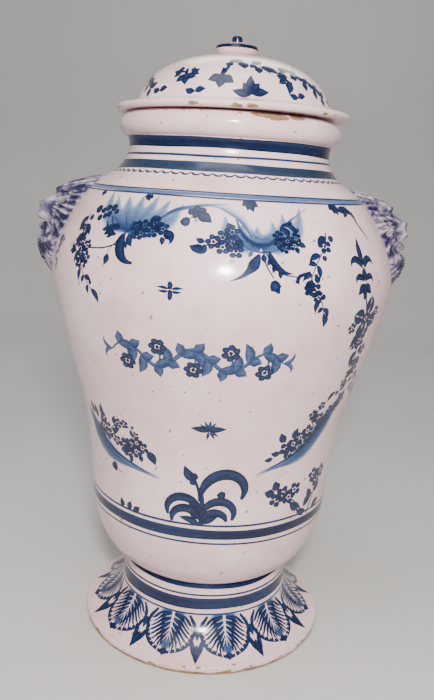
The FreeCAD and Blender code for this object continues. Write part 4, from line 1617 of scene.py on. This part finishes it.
def lock_tree(finish):
    """One lock as a tapering tube, copied to every root."""
    tree = bpy.data.node_groups.new("mane_locks", "GeometryNodeTree")
    tree.interface.new_socket("Geometry", in_out="INPUT", socket_type="NodeSocketGeometry")
    named = {}
    for label, value in LOCK_SIZES.items():
        socket = tree.interface.new_socket(label, in_out="INPUT", socket_type="NodeSocketFloat")
        socket.default_value = value
        named[label] = socket.identifier
    tree.interface.new_socket("Geometry", in_out="OUTPUT", socket_type="NodeSocketGeometry")

    def add(kind, inputs=None, **settings):
        """A node: its settings first, then its sockets, each given a value or a link."""
        node = tree.nodes.new(kind)
        for key, value in settings.items():
            setattr(node, key, value)
        for key, value in (inputs or {}).items():
            if isinstance(value, bpy.types.NodeSocket):
                tree.links.new(value, node.inputs[key])
            else:
                node.inputs[key].default_value = value
        return node

    given = add("NodeGroupInput").outputs
    half = add("ShaderNodeMath", {0: given["Length"], 1: 0.55}, operation="MULTIPLY")
    middle = add("ShaderNodeCombineXYZ", {"X": half.outputs[0], "Y": given["Hook"]})
    end = add("ShaderNodeCombineXYZ", {"X": given["Length"]})
    arc = add("GeometryNodeCurveQuadraticBezier", {"Resolution": 9, "Start": (0, 0, 0)})
    tree.links.new(middle.outputs[0], arc.inputs["Middle"])
    tree.links.new(end.outputs[0], arc.inputs["End"])
    along = add("GeometryNodeSplineParameter").outputs["Factor"]
    taper = add("ShaderNodeFloatCurve", {"Value": along})
    shape = taper.mapping.curves[0]
    for point, (x, y) in zip(shape.points, ((0.0, 0.35), (1.0, 0.12))):
        point.location = (x, y)
    shape.points.new(0.35, 1.0)
    taper.mapping.update()
    thick = add("ShaderNodeMath", {0: taper.outputs[0], 1: given["Thickness"]}, operation="MULTIPLY")
    ends = {"Value": along, "From Min": 0.45, "From Max": 1.0, "To Min": 0.0, "To Max": 0.8}
    stain = add("ShaderNodeMapRange", ends)
    paint = {"Geometry": arc.outputs[0], "Name": "cobalt", "Value": stain.outputs[0]}
    painted = add("GeometryNodeStoreNamedAttribute", paint, data_type="FLOAT", domain="POINT")
    section = add("GeometryNodeCurvePrimitiveCircle", {"Resolution": 8, "Radius": 1.0})
    thicknesses = {"Curve": painted.outputs[0], "Radius": thick.outputs[0]}
    sized = add("GeometryNodeSetCurveRadius", thicknesses)
    solid = add("GeometryNodeCurveToMesh", {"Curve": sized.outputs[0], "Fill Caps": True})
    tree.links.new(section.outputs[0], solid.inputs["Profile Curve"])
    if "Scale" in solid.inputs:
        tree.links.new(thick.outputs[0], solid.inputs["Scale"])
    turn = add("GeometryNodeInputNamedAttribute", {"Name": "turn"}, data_type="FLOAT_VECTOR")
    size = add("GeometryNodeInputNamedAttribute", {"Name": "size"}, data_type="FLOAT")
    lowest = add("ShaderNodeMath", {0: 1.0, 1: given["Unevenness"]}, operation="SUBTRACT")
    limits = {"Seed": 12, 2: lowest.outputs[0], 3: 1.0}
    chance = add("FunctionNodeRandomValue", limits, data_type="FLOAT")
    scale = add("ShaderNodeMath", {0: size.outputs[0], 1: chance.outputs[1]}, operation="MULTIPLY")
    copies = add("GeometryNodeInstanceOnPoints", {
        "Points": given["Geometry"],
        "Instance": solid.outputs[0],
        "Rotation": turn.outputs[0],
        "Scale": scale.outputs[0],
    })
    real = add("GeometryNodeRealizeInstances", {0: copies.outputs[0]})
    dressed = add("GeometryNodeSetMaterial", {"Geometry": real.outputs[0], "Material": finish})
    add("NodeGroupOutput", {0: dressed.outputs[0]})
    return tree, named


mask_finish = tin_glaze("tin_glaze_on_the_masks", inks=VIOLET_STOPS, blotched_and_shaded=True)
mane_tree, mane_inputs = lock_tree(mask_finish)

# %% Roots and locks
def on_head(side, y, z, sunk):
    """A point just under the head's surface."""
    return Vector((side * (wall_out(y, z) + stand(y, z)[0] - sunk), y, z))


def lock_roots(side):
    """Roots round the face: place, direction and size of each lock."""
    roots = []
    for k in range(22):
        fan = math.radians(-62 + 304 * k / 21)
        for ring_no, (wide, tall, size) in enumerate(((14.0, 15.5, 0.72), (18.5, 20.5, 0.62))):
            y = wide * math.cos(fan + 0.08 * ring_no)
            z = 345 + tall * math.sin(fan + 0.08 * ring_no)
            if z > 364 or abs(y) > 21:
                continue
            sag = math.radians(-35 if y > 0 else 215)
            along_y = math.cos(fan) * 1.2 + math.cos(sag) * 0.5
            along_z = math.sin(fan) + math.sin(sag) * 0.5
            way = Vector((along_y, along_z)).normalized()
            roots.append((y, z, way.x, way.y, size, 1 if y > 0 else -1))
    for k in range(7):
        y = -12 + 4 * k
        hook = 1 if k % 2 else -1
        roots.append((y, 313 - abs(y) * 0.2, 0.12 * y / 12, -1.0, 0.95 - 0.02 * abs(y), hook))
    places, turns, sizes = [], [], []
    for y, z, along_y, along_z, size, hook in roots:
        here = on_head(side, y, z, 1.3)
        there = on_head(side, y + 8 * along_y, z + 8 * along_z, 1.4)
        forward = (there - here).normalized()
        outward = Vector((side, 0, 0))
        across = outward.cross(forward).normalized() * hook
        up = forward.cross(across).normalized()
        turn = Matrix((forward, across, up)).transposed().to_euler()
        places.append(tuple(here * MM))
        turns += list(turn)
        sizes.append(size)
    mesh = bpy.data.meshes.new("lock_roots")
    mesh.from_pydata(places, [], [])
    store(mesh, "turn", "FLOAT_VECTOR", "POINT", turns)
    store(mesh, "size", "FLOAT", "POINT", sizes)
    return mesh


def grown_mane(side, hand):
    """The locks of one mask, as a plain mesh."""
    carrier = placed("roots_" + hand, lock_roots(side))
    grow = carrier.modifiers.new("locks", "NODES")
    grow.node_group = mane_tree
    for label, value in LOCK_SIZES.items():
        grow[mane_inputs[label]] = value
    ready = carrier.evaluated_get(bpy.context.evaluated_depsgraph_get())
    mesh = bpy.data.meshes.new_from_object(ready)
    carrier.modifiers.remove(grow)
    bpy.data.objects.remove(carrier)
    piece = placed("mane_" + hand, outward(mesh, 1e-6))
    print(piece.name, "has", len(mesh.polygons), "faces")
    return piece


manes = {hand: grown_mane(side, hand) for side, hand in ((1, "right"), (-1, "left"))}
for mask in masks.values():
    mask.data.materials.append(mask_finish)

# %% [markdown]
# ## What moves with what
# The foot, the body and the masks were fired as one, so they ride on the jar. The lid's dome, its
# ring and its knob lift off together. Each piece stands in for its CAD part, which is hidden.

# %% Riding on the frame
for name, piece in made.items():
    on_lid = name in LID_NODES
    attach(piece, "lid" if on_lid else "jar")
    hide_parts(name)
for hand, mask in masks.items():
    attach(mask, "jar")
    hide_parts("mask_" + hand)
    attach(manes[hand], "jar")

# %% [markdown]
# ## Floor, light and camera
# A pale sweep stands in for a table. One broad light near the camera gives the belly its single soft
# highlight, as a flash does, and two large panels at the sides and a faint sky keep the shadows open.
# The camera stands a little above the belly, looks down, and leans, so that the jar leans to the right.

# %% Floor and light
HALF_WIDTH, BEND_FROM, BEND, BEND_STEPS, WALL_TOP = 3.0, 1.1, 0.5, 12, 2.6
PAPER_STOPS = ((0.3, (0.56, 0.54, 0.52)), (0.7, (0.60, 0.585, 0.57)))


def studio_floor():
    """A floor that curves up into a wall well behind the jar."""
    bm = bmesh.new()
    rows = [(-HALF_WIDTH, 0.0), (BEND_FROM, 0.0)]
    for k in range(1, BEND_STEPS + 1):
        turn = math.pi / 2 * k / BEND_STEPS
        rows.append((BEND_FROM + BEND * math.sin(turn), BEND * (1 - math.cos(turn))))
    rows.append((BEND_FROM + BEND, WALL_TOP))
    points = [[bm.verts.new((x, y, z)) for x in (-HALF_WIDTH, HALF_WIDTH)] for y, z in rows]
    for a, b in zip(points, points[1:]):
        bm.faces.new((a[0], a[1], b[1], b[0]))
    mesh = bpy.data.meshes.new("studio_floor")
    bm.to_mesh(mesh)
    bm.free()
    mesh.shade_smooth()
    floor = placed("studio_floor", mesh)
    f = Finish("pale_paper")
    colour = f.make("ValToRGB", stops=PAPER_STOPS, Fac=f.noise(f.place(), 3.0, 2.0))
    floor.data.materials.append(f.done(Base_Color=colour, Roughness=0.8))
    return floor


def panel(name, place, size, power, colour=(1, 1, 1), mirrored=True):
    """A soft light that looks at the middle of the jar."""
    light = bpy.data.lights.new(name, "AREA")
    light.shape = "RECTANGLE"
    light.size, light.size_y = size
    light.energy, light.color = power, colour
    lamp = placed(name, light)
    lamp.location = place
    lamp.visible_glossy = mirrored
    lamp.rotation_euler = (MIDDLE - Vector(place)).to_track_quat("-Z", "Y").to_euler()


studio_floor()
MIDDLE = Vector((0, 0, 0.27))
panel("key", (-0.01, -0.80, 0.66), (0.10, 0.10), 13.0, (1.0, 0.97, 0.93))
panel("above", (-0.2, -0.7, 2.2), (1.2, 1.2), 18.0, (1.0, 0.98, 0.96))
panel("left_wall", (-1.9, -0.1, 0.5), (0.8, 1.6), 4.0, (0.96, 0.98, 1.0), False)
panel("right_wall", (1.9, -0.1, 0.5), (0.8, 1.6), 4.0, (0.98, 0.98, 1.0), False)
panel("back_top", (0.2, 1.2, 1.6), (1.2, 0.6), 8.0)
world = bpy.data.worlds.new("soft_sky")
world.use_nodes = True
sky = world.node_tree.nodes["Background"]
sky.inputs["Color"].default_value = (0.80, 0.82, 0.86, 1)
sky.inputs["Strength"].default_value = 0.24
bpy.context.scene.world = world
print("lights:", ", ".join(light.name for light in bpy.data.lights))

# %% The camera
AROUND, DISTANCE, HEIGHT = math.radians(-3.0), 0.590, 0.371
PITCH, LEAN = math.radians(-13.15), math.radians(3.53)
LENS = 37.44
flat = math.cos(PITCH)
ahead = Vector((-math.sin(AROUND) * flat, math.cos(AROUND) * flat, math.sin(PITCH)))
level_right = Vector((math.cos(AROUND), math.sin(AROUND), 0))
level_up = level_right.cross(ahead)
right = math.cos(LEAN) * level_right + math.sin(LEAN) * level_up
upward = -math.sin(LEAN) * level_right + math.cos(LEAN) * level_up
lens = bpy.data.cameras.new("camera")
lens.lens, lens.sensor_width, lens.clip_start = LENS, 36.0, 0.01
camera = placed("camera", lens)
camera.matrix_world = Matrix((right, upward, -ahead)).transposed().to_4x4()
camera.location = (DISTANCE * math.sin(AROUND), -DISTANCE * math.cos(AROUND), HEIGHT)
bpy.context.scene.camera = camera
print("the camera stands", round(camera.location.length, 3), "m from the jar's foot")
